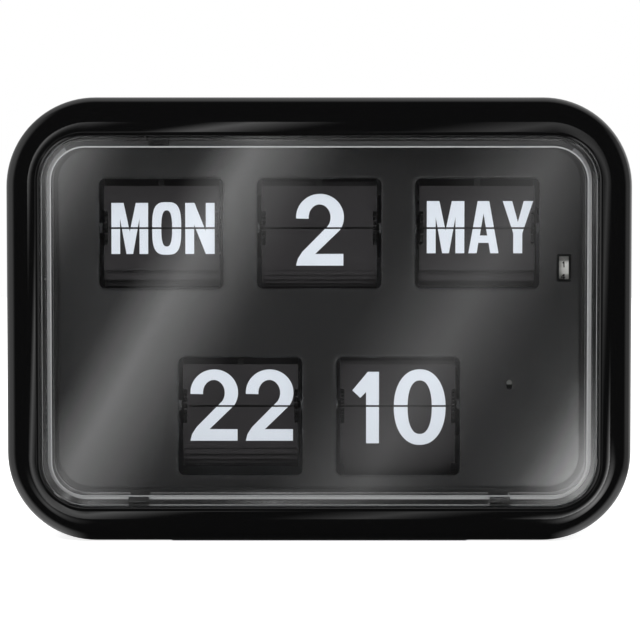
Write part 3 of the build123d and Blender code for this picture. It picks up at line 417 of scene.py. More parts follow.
def lens_finish():
    """Clear acrylic that lets lamp light and bounced light straight through to the dial."""
    material, tree, shader = new_material("lens_clear")
    shader.inputs["Base Color"].default_value = LENS_TINT
    shader.inputs["Transmission Weight"].default_value = 1.0
    shader.inputs["IOR"].default_value = LENS_IOR
    rough = place_group(tree, HANDLING, Smooth=0.0, Spread=LENS_HAZE)
    tree.links.new(rough["Roughness"], shader.inputs["Roughness"])
    path = tree.nodes.new("ShaderNodeLightPath")
    through = math_node(tree, "MAXIMUM", path.outputs["Is Shadow Ray"], path.outputs["Is Diffuse Ray"])
    show_surface(tree, "ShaderNodeMixShader", through, shader.outputs[0], clear_shader(tree))
    return material


def stripe_indicator(material):
    """Prints dark stripes along the running indicator's barrel, so that its turning shows."""
    tree = material.node_tree
    low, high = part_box("run_indicator")
    middle = (Vector(low) + Vector(high)) / 2
    parts = tree.nodes.new("ShaderNodeSeparateXYZ")
    tree.links.new(vector_node(tree, "SUBTRACT", own_place(tree), middle, "Vector"), parts.inputs[0])
    turn = math_node(tree, "ARCTAN2", parts.outputs["Z"], parts.outputs["Y"])
    wave = math_node(tree, "SINE", product(tree, turn, INDICATOR_STRIPES), 0)
    share = math_node(tree, "GREATER_THAN", wave, 0)
    colour = tree.nodes["Principled BSDF"].inputs["Base Color"]
    printed = blend_node(tree, share, colour.links[0].from_socket, shade(INDICATOR_DARK, 1))
    tree.links.new(printed, colour)


FINISHES = {name: finish(name) for name in LOOKS}
FINISHES["lens_clear"] = lens_finish()
stripe_indicator(FINISHES["indicator_grey"])
for subpart in frame["record"]["subparts"]:
    node_materials = NODES[subpart["node"]].data.materials
    node_materials.clear()
    node_materials.append(FINISHES[subpart["material_slot"]])

# Case skin and lens: rounded outlines at successive depths, joined into one surface
PAINTED_LIGHT_MATERIAL = 1
PAINTED_SHADE_MATERIAL = 2
CASE_W = CASE_HIGH.x - CASE_LOW.x
CASE_MID_Z = (FOOT_H + CASE_HIGH.z) / 2
CASE_OUTLINE = (CASE_W, CASE_HIGH.z - FOOT_H, CASE_CORNER_R, CASE_MID_Z)
OPENING_LOW_Z = FOOT_H + BEZEL_LOW_W
OPENING_TOP_Z = CASE_HIGH.z - BEZEL_TOP_W
OPENING_OUTLINE = (
    CASE_W - 2 * BEZEL_SIDE_W, OPENING_TOP_Z - OPENING_LOW_Z, OPENING_R, (OPENING_LOW_Z + OPENING_TOP_Z) / 2
)
BEZEL_REAR_Y = FRONT_Y + BEZEL_T
# Round edge from a flat face to a side: what is left of the way out, and the way down so far, as shares
EDGE_TURNS = [step / EDGE_STEPS * pi / 2 for step in range(EDGE_STEPS + 1)]
QUARTER_SHARES = [(1 - sin(turn), 1 - cos(turn)) for turn in EDGE_TURNS]


def outline_points(outline, y):
    """Points of a rounded rectangle given as width, height, corner radius and middle height, at depth y."""
    width, height, radius, mid_z = outline
    points = []
    for side, rise, start in ((1, -1, -90), (1, 1, 0), (-1, 1, 90), (-1, -1, 180)):
        centre_x = side * (width / 2 - radius)
        centre_z = mid_z + rise * (height / 2 - radius)
        for step in range(CORNER_STEPS + 1):
            turn = radians(start + 90 * step / CORNER_STEPS)
            points.append(Vector((centre_x + radius * cos(turn), y, centre_z + radius * sin(turn))))
    return points


def shrunk(outline, inset):
    """The outline moved inwards all round."""
    width, height, radius, mid_z = outline
    return width - 2 * inset, height - 2 * inset, radius - inset, mid_z


def moved(points, x):
    """The points moved sideways."""
    return [point + Vector((x, 0, 0)) for point in points]


def finished_mesh(name, bm):
    """Mesh of the faces built so far."""
    mesh = bpy.data.meshes.new(name)
    bm.to_mesh(mesh)
    bm.free()
    return mesh


def smooth_bands(mesh):
    """Smooth shading on the four-sided bands, apart from sharp edges; faces that fill a loop stay flat."""
    mesh.set_sharp_from_angle(angle=SHARP_ANGLE)
    for polygon in mesh.polygons:
        polygon.use_smooth = len(polygon.vertices) == 4


def add_band(bm, low, high):
    """Four-sided faces between two loops of equal length."""
    faces = []
    for i in range(len(low)):
        j = (i + 1) % len(low)
        faces.append(bm.faces.new((low[i], low[j], high[j], high[i])))
    return faces


def add_box(bm, middle, size):
    """Plain box."""
    made = bmesh.ops.create_cube(bm, size=1.0)["verts"]
    bmesh.ops.transform(bm, matrix=Matrix.Translation(middle) @ Matrix.Diagonal((*size, 1)), verts=made)


def lofted_mesh(name, loops, ring, marked=()):
    """Surface through loops of equal length: a closed ring, or a solid with a flat face at both ends.

    Bands listed in marked, by the number of their first loop, take the piece's second finish."""
    bm = bmesh.new()
    rows = [[bm.verts.new(point) for point in loop] for loop in loops]
    pairs = list(zip(rows, rows[1:]))
    if ring:
        pairs.append((rows[-1], rows[0]))
    for number, (low, high) in enumerate(pairs):
        for face in add_band(bm, low, high):
            face.material_index = PAINTED_LIGHT_MATERIAL if number in marked else 0
    if not ring:
        bm.faces.new(rows[0])
        bm.faces.new(rows[-1])
    bmesh.ops.recalc_face_normals(bm, faces=bm.faces)
    mesh = finished_mesh(name, bm)
    smooth_bands(mesh)
    return mesh


def case_skin():
    """Deep rounded tube, round front edge, flat bezel and a round lip into the opening."""
    inner = shrunk(CASE_OUTLINE, CASE_WALL)
    loops = [outline_points(inner, BEZEL_REAR_Y), outline_points(inner, REAR_Y)]
    for left, down in QUARTER_SHARES:
        loops.append(outline_points(shrunk(CASE_OUTLINE, REAR_EDGE_R * left), REAR_Y - REAR_EDGE_R * down))
    for left, down in QUARTER_SHARES:
        loops.append(outline_points(shrunk(CASE_OUTLINE, EDGE_R * down), FRONT_Y + EDGE_DEPTH * left))
    for left, down in QUARTER_SHARES:
        loops.append(outline_points(shrunk(OPENING_OUTLINE, -LIP_R * left), FRONT_Y + LIP_R * down))
    loops.append(outline_points(OPENING_OUTLINE, BEZEL_REAR_Y))
    return lofted_mesh("case_skin", loops, ring=True)


def foot_slab():
    """Low flat foot with slanted ends, let into the underside of the case."""
    half = FOOT_L / 2
    wide = half + FOOT_SLANT
    top_z = FOOT_H + CASE_WALL / 2
    profile = [(-half, 0), (half, 0), (wide, FOOT_H), (wide, top_z), (-wide, top_z), (-wide, FOOT_H)]
    bm = bmesh.new()
    front = [bm.verts.new((x, FRONT_Y + EDGE_R, z)) for x, z in profile]
    rear = [bm.verts.new((x, REAR_Y - EDGE_R, z)) for x, z in profile]
    bm.faces.new(front)
    bm.faces.new(rear)
    add_band(bm, front, rear)
    bmesh.ops.recalc_face_normals(bm, faces=bm.faces)
    bmesh.ops.bevel(bm, geom=bm.edges[:], offset=FOOT_BEVEL, segments=BEVEL_SEGMENTS, affect="EDGES")
    return finished_mesh("case_foot", bm)


CASE = add_piece("case_skin", case_skin(), "clock", "case_black", "case_shell")
add_piece("case_foot", foot_slab(), "clock", "control_black")

LENS_OUTLINE = shrunk(OPENING_OUTLINE, LENS_GAP)
DIAL_FRONT_Y = DIAL_REAR_Y - DIAL_T
LENS_REAR_Y = DIAL_FRONT_Y - LENS_SEAT


def lens_shell():
    """Clear tray: flat front, thick side walls down to the dial and a flange behind the bezel."""
    loops = []
    for left, down in QUARTER_SHARES:
        outline = shrunk(LENS_OUTLINE, LENS_EDGE_R * left)
        loops.append(outline_points(outline, LENS_FRONT_Y + LENS_EDGE_R * down))
    flange = shrunk(OPENING_OUTLINE, -LENS_FLANGE)
    for outline, y in (
        (LENS_OUTLINE, BEZEL_REAR_Y + LENS_SEAT),
        (flange, BEZEL_REAR_Y + LENS_SEAT),
        (flange, BEZEL_REAR_Y + LENS_FLANGE_T),
        (LENS_OUTLINE, BEZEL_REAR_Y + LENS_FLANGE_T),
        (LENS_OUTLINE, LENS_REAR_Y),
        (shrunk(LENS_OUTLINE, LENS_CLEAR_EDGE), LENS_REAR_Y),
        (shrunk(LENS_OUTLINE, LENS_RIM), LENS_REAR_Y),
    ):
        loops.append(outline_points(outline, y))
    wall_loop = len(loops) - 1
    inner_y = LENS_FRONT_Y + LENS_T
    for left, down in QUARTER_SHARES:
        inset = LENS_RIM + LENS_INNER_R * down
        loops.append(outline_points(shrunk(LENS_OUTLINE, inset), inner_y + LENS_INNER_R * left))
    # The rear edge band and the inner rounding take the second finish, painted light for the bright rim of the
    # walls
    marked = [wall_loop - 1] + list(range(wall_loop + 1, len(loops) - 1))
    return lofted_mesh("lens_shell", loops, ring=False, marked=marked)


def clip_spots():
    """Middle of each clip along the lens edge, and whether that edge is the lower or the upper one."""
    half_w = LENS_OUTLINE[0] / 2
    low_x = half_w - CLIP_LOW_INSET
    return (-low_x, -1), (low_x, -1), (CLIP_TOP_INSET - half_w, 1)


def cut_notches(piece):
    """Cuts the three notches for the dial's clips out of the lens walls."""
    _, height, _, mid_z = LENS_OUTLINE
    half = CLIP_W / 2 + CLIP_PLAY
    for x, rise in clip_spots():
        edge_z = mid_z + rise * (height / 2 + LENS_RIM)
        wall_z = mid_z + rise * (height / 2 - LENS_RIM - LENS_GAP)
        low = Vector((x - half, DIAL_FRONT_Y - CLIP_DEPTH - CLIP_PLAY, min(edge_z, wall_z)))
        high = Vector((x + half, DIAL_FRONT_Y + CLIP_DEPTH, max(edge_z, wall_z)))
        bm = bmesh.new()
        add_box(bm, (low + high) / 2, high - low)
        cutter = link_object("notch_cutter", finished_mesh("notch_cutter", bm))
        cut = piece.modifiers.new("notch", "BOOLEAN")
        cut.object = cutter
        cut.solver = "EXACT"
        bpy.context.view_layer.update()
        evaluated = piece.evaluated_get(bpy.context.evaluated_depsgraph_get())
        mesh = bpy.data.meshes.new_from_object(evaluated)
        piece.modifiers.clear()
        piece.data = mesh
        bpy.data.objects.remove(cutter)
    smooth_bands(piece.data)


def shade_upper_edge(mesh):
    """The flat edge band along the top takes the darker edge finish: painted shade for the bezel's shadow on it.
    """
    _, height, radius, mid_z = LENS_OUTLINE
    start_z = mid_z + height / 2 - radius * (1 - sin(pi / 4))
    for polygon in mesh.polygons:
        at_rear = abs(polygon.center.y - LENS_REAR_Y) < LENS_SEAT
        if polygon.material_index == PAINTED_LIGHT_MATERIAL and polygon.center.z > start_z and at_rear:
            polygon.material_index = PAINTED_SHADE_MATERIAL


LENS = add_piece("lens_shell", lens_shell(), "clock", "lens_clear", "front_lens")
# Second finish: painted light on the lens rim; third: painted shade on its top band
LENS.data.materials.append(FINISHES["lens_edge_painted_light"])
LENS.data.materials.append(FINISHES["lens_edge_painted_shade"])
shade_upper_edge(LENS.data)
cut_notches(LENS)

# Dial panel with rolled window edges, its clips and the dark frame of the leap year window
DIAL_OUTLINE = shrunk(OPENING_OUTLINE, -DIAL_MARGIN)
FILL_INSIDE = 1
FILL_EPSILON = 0.0000001
LEAP_PLACE = JOINTS["leap_year_turn"]["pos_m"]
PEEPHOLE_PLACE = JOINTS["run_indicator_turn"]["pos_m"]
LEAP_LOW, LEAP_HIGH = (Vector(corner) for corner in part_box("leap_year_wheel"))
PEEPHOLE_LOW, PEEPHOLE_HIGH = (Vector(corner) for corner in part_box("run_indicator"))
LEAP_X = (LEAP_LOW.x + LEAP_HIGH.x) / 2
PEEPHOLE_X = (PEEPHOLE_LOW.x + PEEPHOLE_HIGH.x) / 2
LEAP_OUTLINE = (LEAP_W, LEAP_H, LEAP_R, LEAP_PLACE[2])
PEEPHOLE_OUTLINE = (PEEPHOLE_W, PEEPHOLE_H, PEEPHOLE_W / 2, PEEPHOLE_PLACE[2])


def window_outline(drum):
    """Outline of the window in front of a drum and the x it is centred on."""
    x, _, axis_z = JOINTS[f"{drum}_step"]["pos_m"]
    down = WINDOW_DOWN[drum]
    return (WINDOW_W, WINDOW_UP + down, WINDOW_R, axis_z + (WINDOW_UP - down) / 2), x


def window_loops(outline, x, roll):
    """Loops of a window from the dial's front, round its rolled edge if it has one, to the dial's rear."""
    loops = []
    for left, down in QUARTER_SHARES if roll else QUARTER_SHARES[-1:]:
        loops.append(moved(outline_points(shrunk(outline, -roll * left), DIAL_FRONT_Y + roll * down), x))
    loops.append(moved(outline_points(outline, DIAL_REAR_Y), x))
    return loops


def is_inside(x, z, ring):
    """Whether a spot lies inside a loop of vertices, by counting the edges it passes under."""
    inside = False
    for i, start in enumerate(ring):
        end = ring[i - 1]
        if (start.co.z > z) != (end.co.z > z):
            share = (z - start.co.z) / (end.co.z - start.co.z)
            if x < start.co.x + share * (end.co.x - start.co.x):
                inside = not inside
    return inside


def fill_flat(bm, rings):
    """Triangles between the last loop, which goes round the outside, and the openings before it."""
    verts = [vert for ring in rings for vert in ring]
    edges = []
    for ring in rings:
        first = len(edges)
        edges += [(first + i, first + (i + 1) % len(ring)) for i in range(len(ring))]
    flat = [Vector((vert.co.x, vert.co.z)) for vert in verts]
    _, _, triangles, origins, _, _ = delaunay_2d_cdt(flat, edges, [], FILL_INSIDE, FILL_EPSILON)
    for triangle in triangles:
        corners = [verts[origins[index][0]] for index in triangle]
        middle = sum((corner.co for corner in corners), Vector()) / len(corners)
        if not any(is_inside(middle.x, middle.z, ring) for ring in rings[:-1]):
            bm.faces.new(corners)


def dial_panel():
    """Flat panel with every opening in it; the five large windows have rolled edges."""
    holes = [window_loops(*window_outline(drum), WINDOW_ROLL) for drum in WINDOW_DOWN]
    holes.append(window_loops(LEAP_OUTLINE, LEAP_X, 0))
    holes.append(window_loops(PEEPHOLE_OUTLINE, PEEPHOLE_X, 0))
    holes.append([outline_points(DIAL_OUTLINE, DIAL_FRONT_Y), outline_points(DIAL_OUTLINE, DIAL_REAR_Y)])
    bm = bmesh.new()
    front_rings, rear_rings = [], []
    for loops in holes:
        rows = [[bm.verts.new(point) for point in loop] for loop in loops]
        for low, high in zip(rows, rows[1:]):
            add_band(bm, low, high)
        front_rings.append(rows[0])
        rear_rings.append(rows[-1])
    fill_flat(bm, front_rings)
    fill_flat(bm, rear_rings)
    bmesh.ops.recalc_face_normals(bm, faces=bm.faces)
    mesh = finished_mesh("dial_panel", bm)
    smooth_bands(mesh)
    return mesh


def dial_clips():
    """Three clips that stand forward from the dial in the lens notches, with eased edges."""
    _, height, _, mid_z = LENS_OUTLINE
    size = Vector((CLIP_W, CLIP_DEPTH + DIAL_T / 2, CLIP_T))
    bm = bmesh.new()
    for x, rise in clip_spots():
        z = mid_z + rise * (height / 2 - LENS_RIM / 2)
        add_box(bm, Vector((x, DIAL_FRONT_Y + DIAL_T / 2 - size.y / 2, z)), size)
    bmesh.ops.bevel(bm, geom=bm.edges[:], offset=CLIP_BEVEL, segments=BEVEL_SEGMENTS, affect="EDGES")
    return finished_mesh("dial_clips", bm)


def leap_frame():
    """Thin dark frame on the dial round the leap year window."""
    outer = shrunk(LEAP_OUTLINE, -LEAP_FRAME_LAP)
    inner = (LEAP_W - 2 * LEAP_FRAME_W, LEAP_H - 2 * LEAP_FRAME_W, LEAP_FRAME_R, LEAP_PLACE[2])
    front_y = LENS_REAR_Y - LEAP_FRAME_T
    corners = ((outer, LENS_REAR_Y), (outer, front_y), (inner, front_y), (inner, LENS_REAR_Y))
    loops = [moved(outline_points(outline, y), LEAP_X) for outline, y in corners]
    return lofted_mesh("leap_frame", loops, ring=True)


add_piece("dial_panel", dial_panel(), "clock", "dial_grey", "dial_plate")
add_piece("dial_clips", dial_clips(), "clock", "dial_grey")
add_piece("leap_frame", leap_frame(), "clock", "dial_grey", own_finish="black_print_and_painted_shade")

# Print on the leaves: outlines in millimetres for a figure or letter of the cap height below
DIGIT_CAP = 38.7
LETTER_CAP = 27.1
MILLIMETRE = 0.001
INK_T = 0.000012
INK_LIFT = 0.000006
HINGE_SHADE_INK = 1
# Print stops a little short of each leaf's hinge edge, and a dark strip along that edge is painted shade for the
# split between the leaves
SPLIT_HALF = 0.00048
HINGE_SHADE_START = 0.00022
HINGE_SHADE_HALF_W = 0.0278


def arc(centre, radius_x, radius_y, start, end):
    """Points along part of an ellipse, angles in degrees."""
    points = []
    for step in range(ARC_STEPS + 1):
        turn = radians(start + (end - start) * step / ARC_STEPS)
        points.append((centre[0] + radius_x * cos(turn), centre[1] + radius_y * sin(turn)))
    return points


def bowl(centre, radius_x, radius_y, power):
    """Closed oval between an ellipse and a rounded box, drawn as a superellipse."""
    points = []
    for step in range(4 * ARC_STEPS):
        turn = 2 * pi * step / (4 * ARC_STEPS)
        across = abs(cos(turn)) ** (2 / power) * (1 if cos(turn) >= 0 else -1)
        up = abs(sin(turn)) ** (2 / power) * (1 if sin(turn) >= 0 else -1)
        points.append((centre[0] + radius_x * across, centre[1] + radius_y * up))
    return points


# Width and closed outlines of each sign
FIGURES = {
    "0": (27.6, [bowl((13.8, 19.35), 13.8, 20.2, 2.15), bowl((13.8, 19.3), 6.45, 14.3, 2.3)]),
    "1": (14.2, [[(7.3, 0), (14.15, 0), (14.15, 38.2), (8.2, 38.2), (0, 28.3), (4.2, 24.3), (7.3, 27.4)]]),
    "2": (25.8, [
        arc((12.9, 26.1), 12.9, 12.6, 183, -33)
        + [(10.3, 6.3), (25.5, 6.3), (25.5, 0), (0, 0), (0.9, 3.6), (3.4, 7.5)]
        + arc((12.7, 26.0), 5.9, 7.0, -42, 186)
    ]),
    "3": (25.8, [
        arc((12.6, 28.5), 11.7, 10.2, 180, -36)
        + arc((12.9, 11.4), 12.9, 11.4, 44, -180)
        + arc((12.9, 11.6), 6.0, 5.5, -180, 78)
        + [(9.6, 17.2), (9.6, 22.3)]
        + arc((12.6, 27.9), 5.2, 5.0, -75, 180)
    ]),
    "4": (26.4, [
        [(14.6, 0), (21.6, 0), (21.6, 8.2), (26.4, 8.2), (26.4, 14.2), (21.6, 14.2), (21.6, 38.2),
         (14.0, 38.2), (0, 14.4), (0, 8.2), (14.6, 8.2)],
        [(14.6, 14.2), (14.6, 27.4), (6.6, 14.2)],
    ]),
    "M": (19.5, [
        [(0, 0), (0, 27.1), (6.5, 27.1), (9.75, 11.8), (13.0, 27.1), (19.5, 27.1), (19.5, 0),
         (14.9, 0), (14.9, 18.8), (11.5, 0), (8.0, 0), (4.6, 18.8), (4.6, 0)],
    ]),
    "O": (15.4, [bowl((7.7, 13.55), 7.7, 13.95, 3.2), bowl((7.7, 13.55), 2.9, 9.6, 2.6)]),
    "N": (15.6, [
        [(0, 0), (0, 27.1), (4.9, 27.1), (10.9, 12.2), (10.9, 27.1), (15.6, 27.1), (15.6, 0),
         (10.9, 0), (4.7, 15.6), (4.7, 0)],
    ]),
    "A": (15.7, [
        [(0, 0), (4.8, 27.1), (10.8, 27.1), (15.7, 0), (11.4, 0), (10.5, 5.4), (5.2, 5.4), (4.3, 0)],
        [(5.9, 9.2), (9.8, 9.2), (7.85, 20.6)],
    ]),
    "Y": (15.8, [
        [(5.5, 0), (10.2, 0), (10.2, 10.4), (15.8, 27.1), (10.9, 27.1), (7.9, 16.2), (4.9, 27.1),
         (0, 27.1), (5.5, 10.4)],
    ]),
    "T": (14.4, [
        [(4.8, 0), (9.6, 0), (9.6, 22.6), (14.4, 22.6), (14.4, 27.1), (0, 27.1), (0, 22.6), (4.8, 22.6)],
    ]),
    "U": (15.4, [
        [(15.4, 27.1)] + arc((7.7, 7.6), 7.7, 8.0, 0, -180) + [(0, 27.1), (4.8, 27.1)]
        + arc((7.7, 7.4), 2.9, 3.6, -180, 0) + [(10.6, 27.1)]
    ]),
    "E": (13.2, [
        [(0, 0), (13.2, 0), (13.2, 4.5), (4.8, 4.5), (4.8, 11.5), (12.0, 11.5), (12.0, 15.9),
         (4.8, 15.9), (4.8, 22.6), (13.2, 22.6), (13.2, 27.1), (0, 27.1)],
    ]),
    "J": (12.8, [
        [(12.8, 27.1)] + arc((6.4, 6.8), 6.4, 7.2, 0, -180) + [(0, 9.6), (4.6, 9.6)]
        + arc((6.4, 6.6), 1.8, 3.2, -180, 0) + [(8.2, 27.1)]
    ]),
}


def text_outlines(text, cap, height, gap, baseline):
    """Closed outlines of a text in metres, centred on x = 0; the measures given are in millimetres."""
    scale = height / cap
    widths = [FIGURES[sign][0] * scale for sign in text]
    x = -(sum(widths) + gap * (len(text) - 1)) / 2
    outlines = []
    for sign, width in zip(text, widths):
        for outline in FIGURES[sign][1]:
            placed = [(x + px * scale, baseline + pz * scale) for px, pz in outline]
            outlines.append([(px * MILLIMETRE, pz * MILLIMETRE) for px, pz in placed])
        x += width + gap
    return outlines


def ink_layer(outlines, split, place, ink=0):
    """Thin layer of ink from outlines, kept above the split if there is one, then set in place."""
    bm = bmesh.new()
    edges = []
    for outline in outlines:
        ring = [bm.verts.new((x, z, 0)) for x, z in outline]
        edges += [bm.edges.new((ring[i], ring[(i + 1) % len(ring)])) for i in range(len(ring))]
    bmesh.ops.triangle_fill(bm, use_beauty=True, edges=edges)
    if split is not None:
        geometry = bm.verts[:] + bm.edges[:] + bm.faces[:]
        cut = {"plane_co": (0, split, 0), "plane_no": (0, 1, 0), "clear_inner": True}
        bmesh.ops.bisect_plane(bm, geom=geometry, **cut)
    bmesh.ops.recalc_face_normals(bm, faces=bm.faces)
    layer = bmesh.ops.extrude_face_region(bm, geom=bm.faces[:])
    raised = [item for item in layer["geom"] if isinstance(item, bmesh.types.BMVert)]
    bmesh.ops.translate(bm, vec=(0, 0, INK_T), verts=raised)
    bmesh.ops.recalc_face_normals(bm, faces=bm.faces)
    for face in bm.faces:
        face.material_index = ink
    bmesh.ops.transform(bm, matrix=place, verts=bm.verts)
    return bm


def print_mesh(name, layers):
    """Mesh that joins the layers of ink, each given as outlines, split, place and ink."""
    mesh = bpy.data.meshes.new(name)
    joined = bmesh.new()
    for layer in layers:
        bm = ink_layer(*layer)
        bm.to_mesh(mesh)
        bm.free()
        joined.from_mesh(mesh)
    joined.to_mesh(mesh)
    joined.free()
    return mesh


def print_place(along, face, origin):
    """Matrix that lays print down at an origin: its height goes along, its thickness out of the face."""
    across = Vector((1, 0, 0))
    return Matrix.Translation(origin) @ Matrix((across, along, face)).transposed().to_4x4()


def leaf_place(x, pivot, lean, thick, front):
    """Place of print that is measured from a leaf's hinge line, on the leaf's front or back."""
    along = Vector((0, sin(lean), cos(lean)))
    face = Vector((0, -cos(lean), sin(lean))) * (1 if front else -1)
    return print_place(along, face, Vector((x, pivot[1], pivot[2])) + face * (thick / 2 + INK_LIFT))


def from_hinge(outlines, hinge, flip):
    """The outlines measured from a hinge line, turned upside down where flip is -1."""
    return [[(px, flip * (pz - hinge)) for px, pz in outline] for outline in outlines]


def print_drum(drum, text, next_text, cap, height, next_height, gap, baseline, shift):
    """Prints the value shown and the next one on the leaves of a drum, with dark hinge strips of painted shade
    where the leaves part.
    """
    step_joint = JOINTS[f"{drum}_step"]
    rise_joint = JOINTS[f"{drum}_next_rise"]
    front_pivot = JOINTS[f"{drum}_front_fall"]["pos_m"]
    next_pivot = rise_joint["pos_m"]
    axis_z = step_joint["pos_m"][2]
    shift_x = shift * MILLIMETRE
    x = step_joint["pos_m"][0] + shift_x
    low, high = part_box(f"{drum}_front_leaf")
    thick = high[1] - low[1]
    lean = radians(step_joint["range_deg"][1]) + radians(rise_joint["range_deg"][0])
    rise = front_pivot[2] - axis_z
    low_pivot = (front_pivot[0], front_pivot[1], axis_z - rise)
    now = text_outlines(text, cap, height, gap, baseline)
    then = text_outlines(next_text, cap, next_height, gap, baseline)
    split = SPLIT_HALF - rise
    line_low = HINGE_SHADE_START - rise
    line_left = -HINGE_SHADE_HALF_W - shift_x
    line_right = HINGE_SHADE_HALF_W - shift_x
    # Dark strip of painted shade along the hinge edge, where the leaves part
    line = [(line_left, line_low), (line_right, line_low), (line_right, split), (line_left, split)]
    jobs = (
        ("now_upper", now, rise, 1, f"{drum}_front_leaf", leaf_place(x, front_pivot, 0, thick, True)),
        ("now_lower", now, -rise, -1, f"{drum}_drum", leaf_place(x, low_pivot, pi, thick, False)),
        ("then_upper", then, rise, 1, f"{drum}_next_leaf", leaf_place(x, next_pivot, lean, thick, True)),
        ("then_lower", then, -rise, -1, f"{drum}_front_leaf", leaf_place(x, front_pivot, 0, thick, False)),
    )
    for label, outlines, hinge, flip, body, place in jobs:
        name = f"{drum}_{label}"
        figures = (from_hinge(outlines, hinge, flip), split, place)
        mesh = print_mesh(name, [figures, ([line], None, place, HINGE_SHADE_INK)])
        piece = add_piece(name, mesh, body, "leaf_grey", own_finish="print_white")
        piece.data.materials.append(FINISHES["black_print_and_painted_shade"])


# Drum, value shown and next value, then in millimetres: cap height of the outlines, printed heights of both
# values, gap between the signs, baseline from the axle, and shift to the right
DRUM_PRINTS = (
    ("weekday", "MON", "TUE", LETTER_CAP, 27.6, 27.6, 2.2, -14.0, 0.8),
    ("date", "2", "3", DIGIT_CAP, 38.8, 38.8, 4.0, -20.3, 0.4),
    ("month", "MAY", "JUN", LETTER_CAP, 28.2, 28.2, 2.2, -13.6, 1.6),
    ("hour", "22", "23", DIGIT_CAP, 38.8, 38.0, 4.2, -18.9, 0.7),
    ("minute", "10", "11", DIGIT_CAP, 39.4, 39.4, 8.0, -20.3, 0.6),
)
for drum_print in DRUM_PRINTS:
    print_drum(*drum_print)

# Small figures round the leap year wheel, upright where they face the front
LEAP_SIDES = 16
LEAP_FIGURES = "1234"
LEAP_FIGURE_H = 3.4


def leap_figures():
    """One figure on every second flat of the wheel."""
    low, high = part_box("leap_year_wheel")
    middle = (Vector(low) + Vector(high)) / 2
    apothem = (high[1] - low[1]) / 2 * cos(pi / LEAP_SIDES)
    layers = []
    for number in range(0, LEAP_SIDES, 2):
        turn = pi - (number + 0.5) * 2 * pi / LEAP_SIDES
        face = Vector((0, cos(turn), sin(turn)))
        along = Vector((0, sin(turn), -cos(turn)))
        sign = LEAP_FIGURES[number // 2 % len(LEAP_FIGURES)]
        outlines = text_outlines(sign, DIGIT_CAP, LEAP_FIGURE_H, 0, -LEAP_FIGURE_H / 2)
        layers.append((outlines, None, print_place(along, face, middle + face * (apothem + INK_LIFT))))
    return print_mesh("leap_figures", layers)


add_piece("leap_figures", leap_figures(), "leap_year_wheel", "leap_white", own_finish="black_print_and_painted_shade")

# Camera
VIEW_DISTANCE = 1.5
VIEW_TILT = radians(2.9)
FRAME_W = 0.3401
SENSOR_W = 36.0
AIM_X = 0.0004
AIM_Z = 0.1188
AIM = Vector((AIM_X, FRONT_Y, AIM_Z))


def turn_to_clock(place):
    """Rotation that points a camera or lamp at the clock."""
    return (AIM - place).to_track_quat("-Z", "Y").to_euler()


camera_data = bpy.data.cameras.new("camera")
camera_data.sensor_width = SENSOR_W
camera_data.lens = SENSOR_W * VIEW_DISTANCE / FRAME_W
camera = link_object("camera", camera_data)
camera.location = AIM + VIEW_DISTANCE * Vector((0, -cos(VIEW_TILT), sin(VIEW_TILT)))
camera.rotation_euler = turn_to_clock(camera.location)
bpy.context.scene.camera = camera

# Floor
FLOOR_HALF = 3.0
FLOOR_WHITE = (0.9, 0.9, 0.9, 1.0)
FLOOR_ROUGHNESS = 0.9
FLOOR_GLOW = 0.8
SQUARE = ((-1, -1), (1, -1), (1, 1), (-1, 1))


def card_mesh(name, corners, material):
    """Flat card with four corners."""
    mesh = bpy.data.meshes.new(name)
    mesh.from_pydata(corners, [], [(0, 1, 2, 3)])
    mesh.materials.append(material)
    return mesh


def floor_material():
    """Pale floor that shows white to the camera and keeps the shadow under the clock."""
    material, tree, shader = new_material("floor_white")
    shader.inputs["Base Color"].default_value = FLOOR_WHITE
    shader.inputs["Roughness"].default_value = FLOOR_ROUGHNESS
    shader.inputs["Emission Color"].default_value = WHITE
    path = tree.nodes.new("ShaderNodeLightPath")
    glow = product(tree, path.outputs["Is Camera Ray"], FLOOR_GLOW)
    tree.links.new(glow, shader.inputs["Emission Strength"])
    hidden = mirrored_rays(tree, path)
    show_surface(tree, "ShaderNodeMixShader", hidden, shader.outputs[0], clear_shader(tree))
    return material


floor_corners = [(FLOOR_HALF * side, FLOOR_HALF * back, 0) for side, back in SQUARE]
floor = link_object("floor", card_mesh("floor", floor_corners, floor_material()))

# World: strength of each glow, and the span of the direction's x, y or z over which it comes up
WORLD_FILL = 0.35
WORLD_FRONT = 0.035
BACK_GLOW = 1.1
BACK_SPAN_Y = (0.0, 0.25)
BACK_SPAN_Z = (-0.4, -0.05)
BACK_SPAN_X = (-0.9, 0.9)
BACK_SIDE_SHARES = (0.5, 1.2)
SIDE_SPAN_Y = (-0.8, -0.4)
LEFT_GLOW = 0.8
LEFT_SPAN_X = (-0.35, -0.9)
RIGHT_GLOW = 0.5
RIGHT_SPAN_X = (0.6, 0.95)
TOP_GLOW = 0.8
TOP_SPAN_Z = (0.2, 0.9)
TOP_SPAN_Y = (-0.45, 0.0)
CORNER_GLOW = 1.3
CORNER_SPAN = (0.12, 0.5)


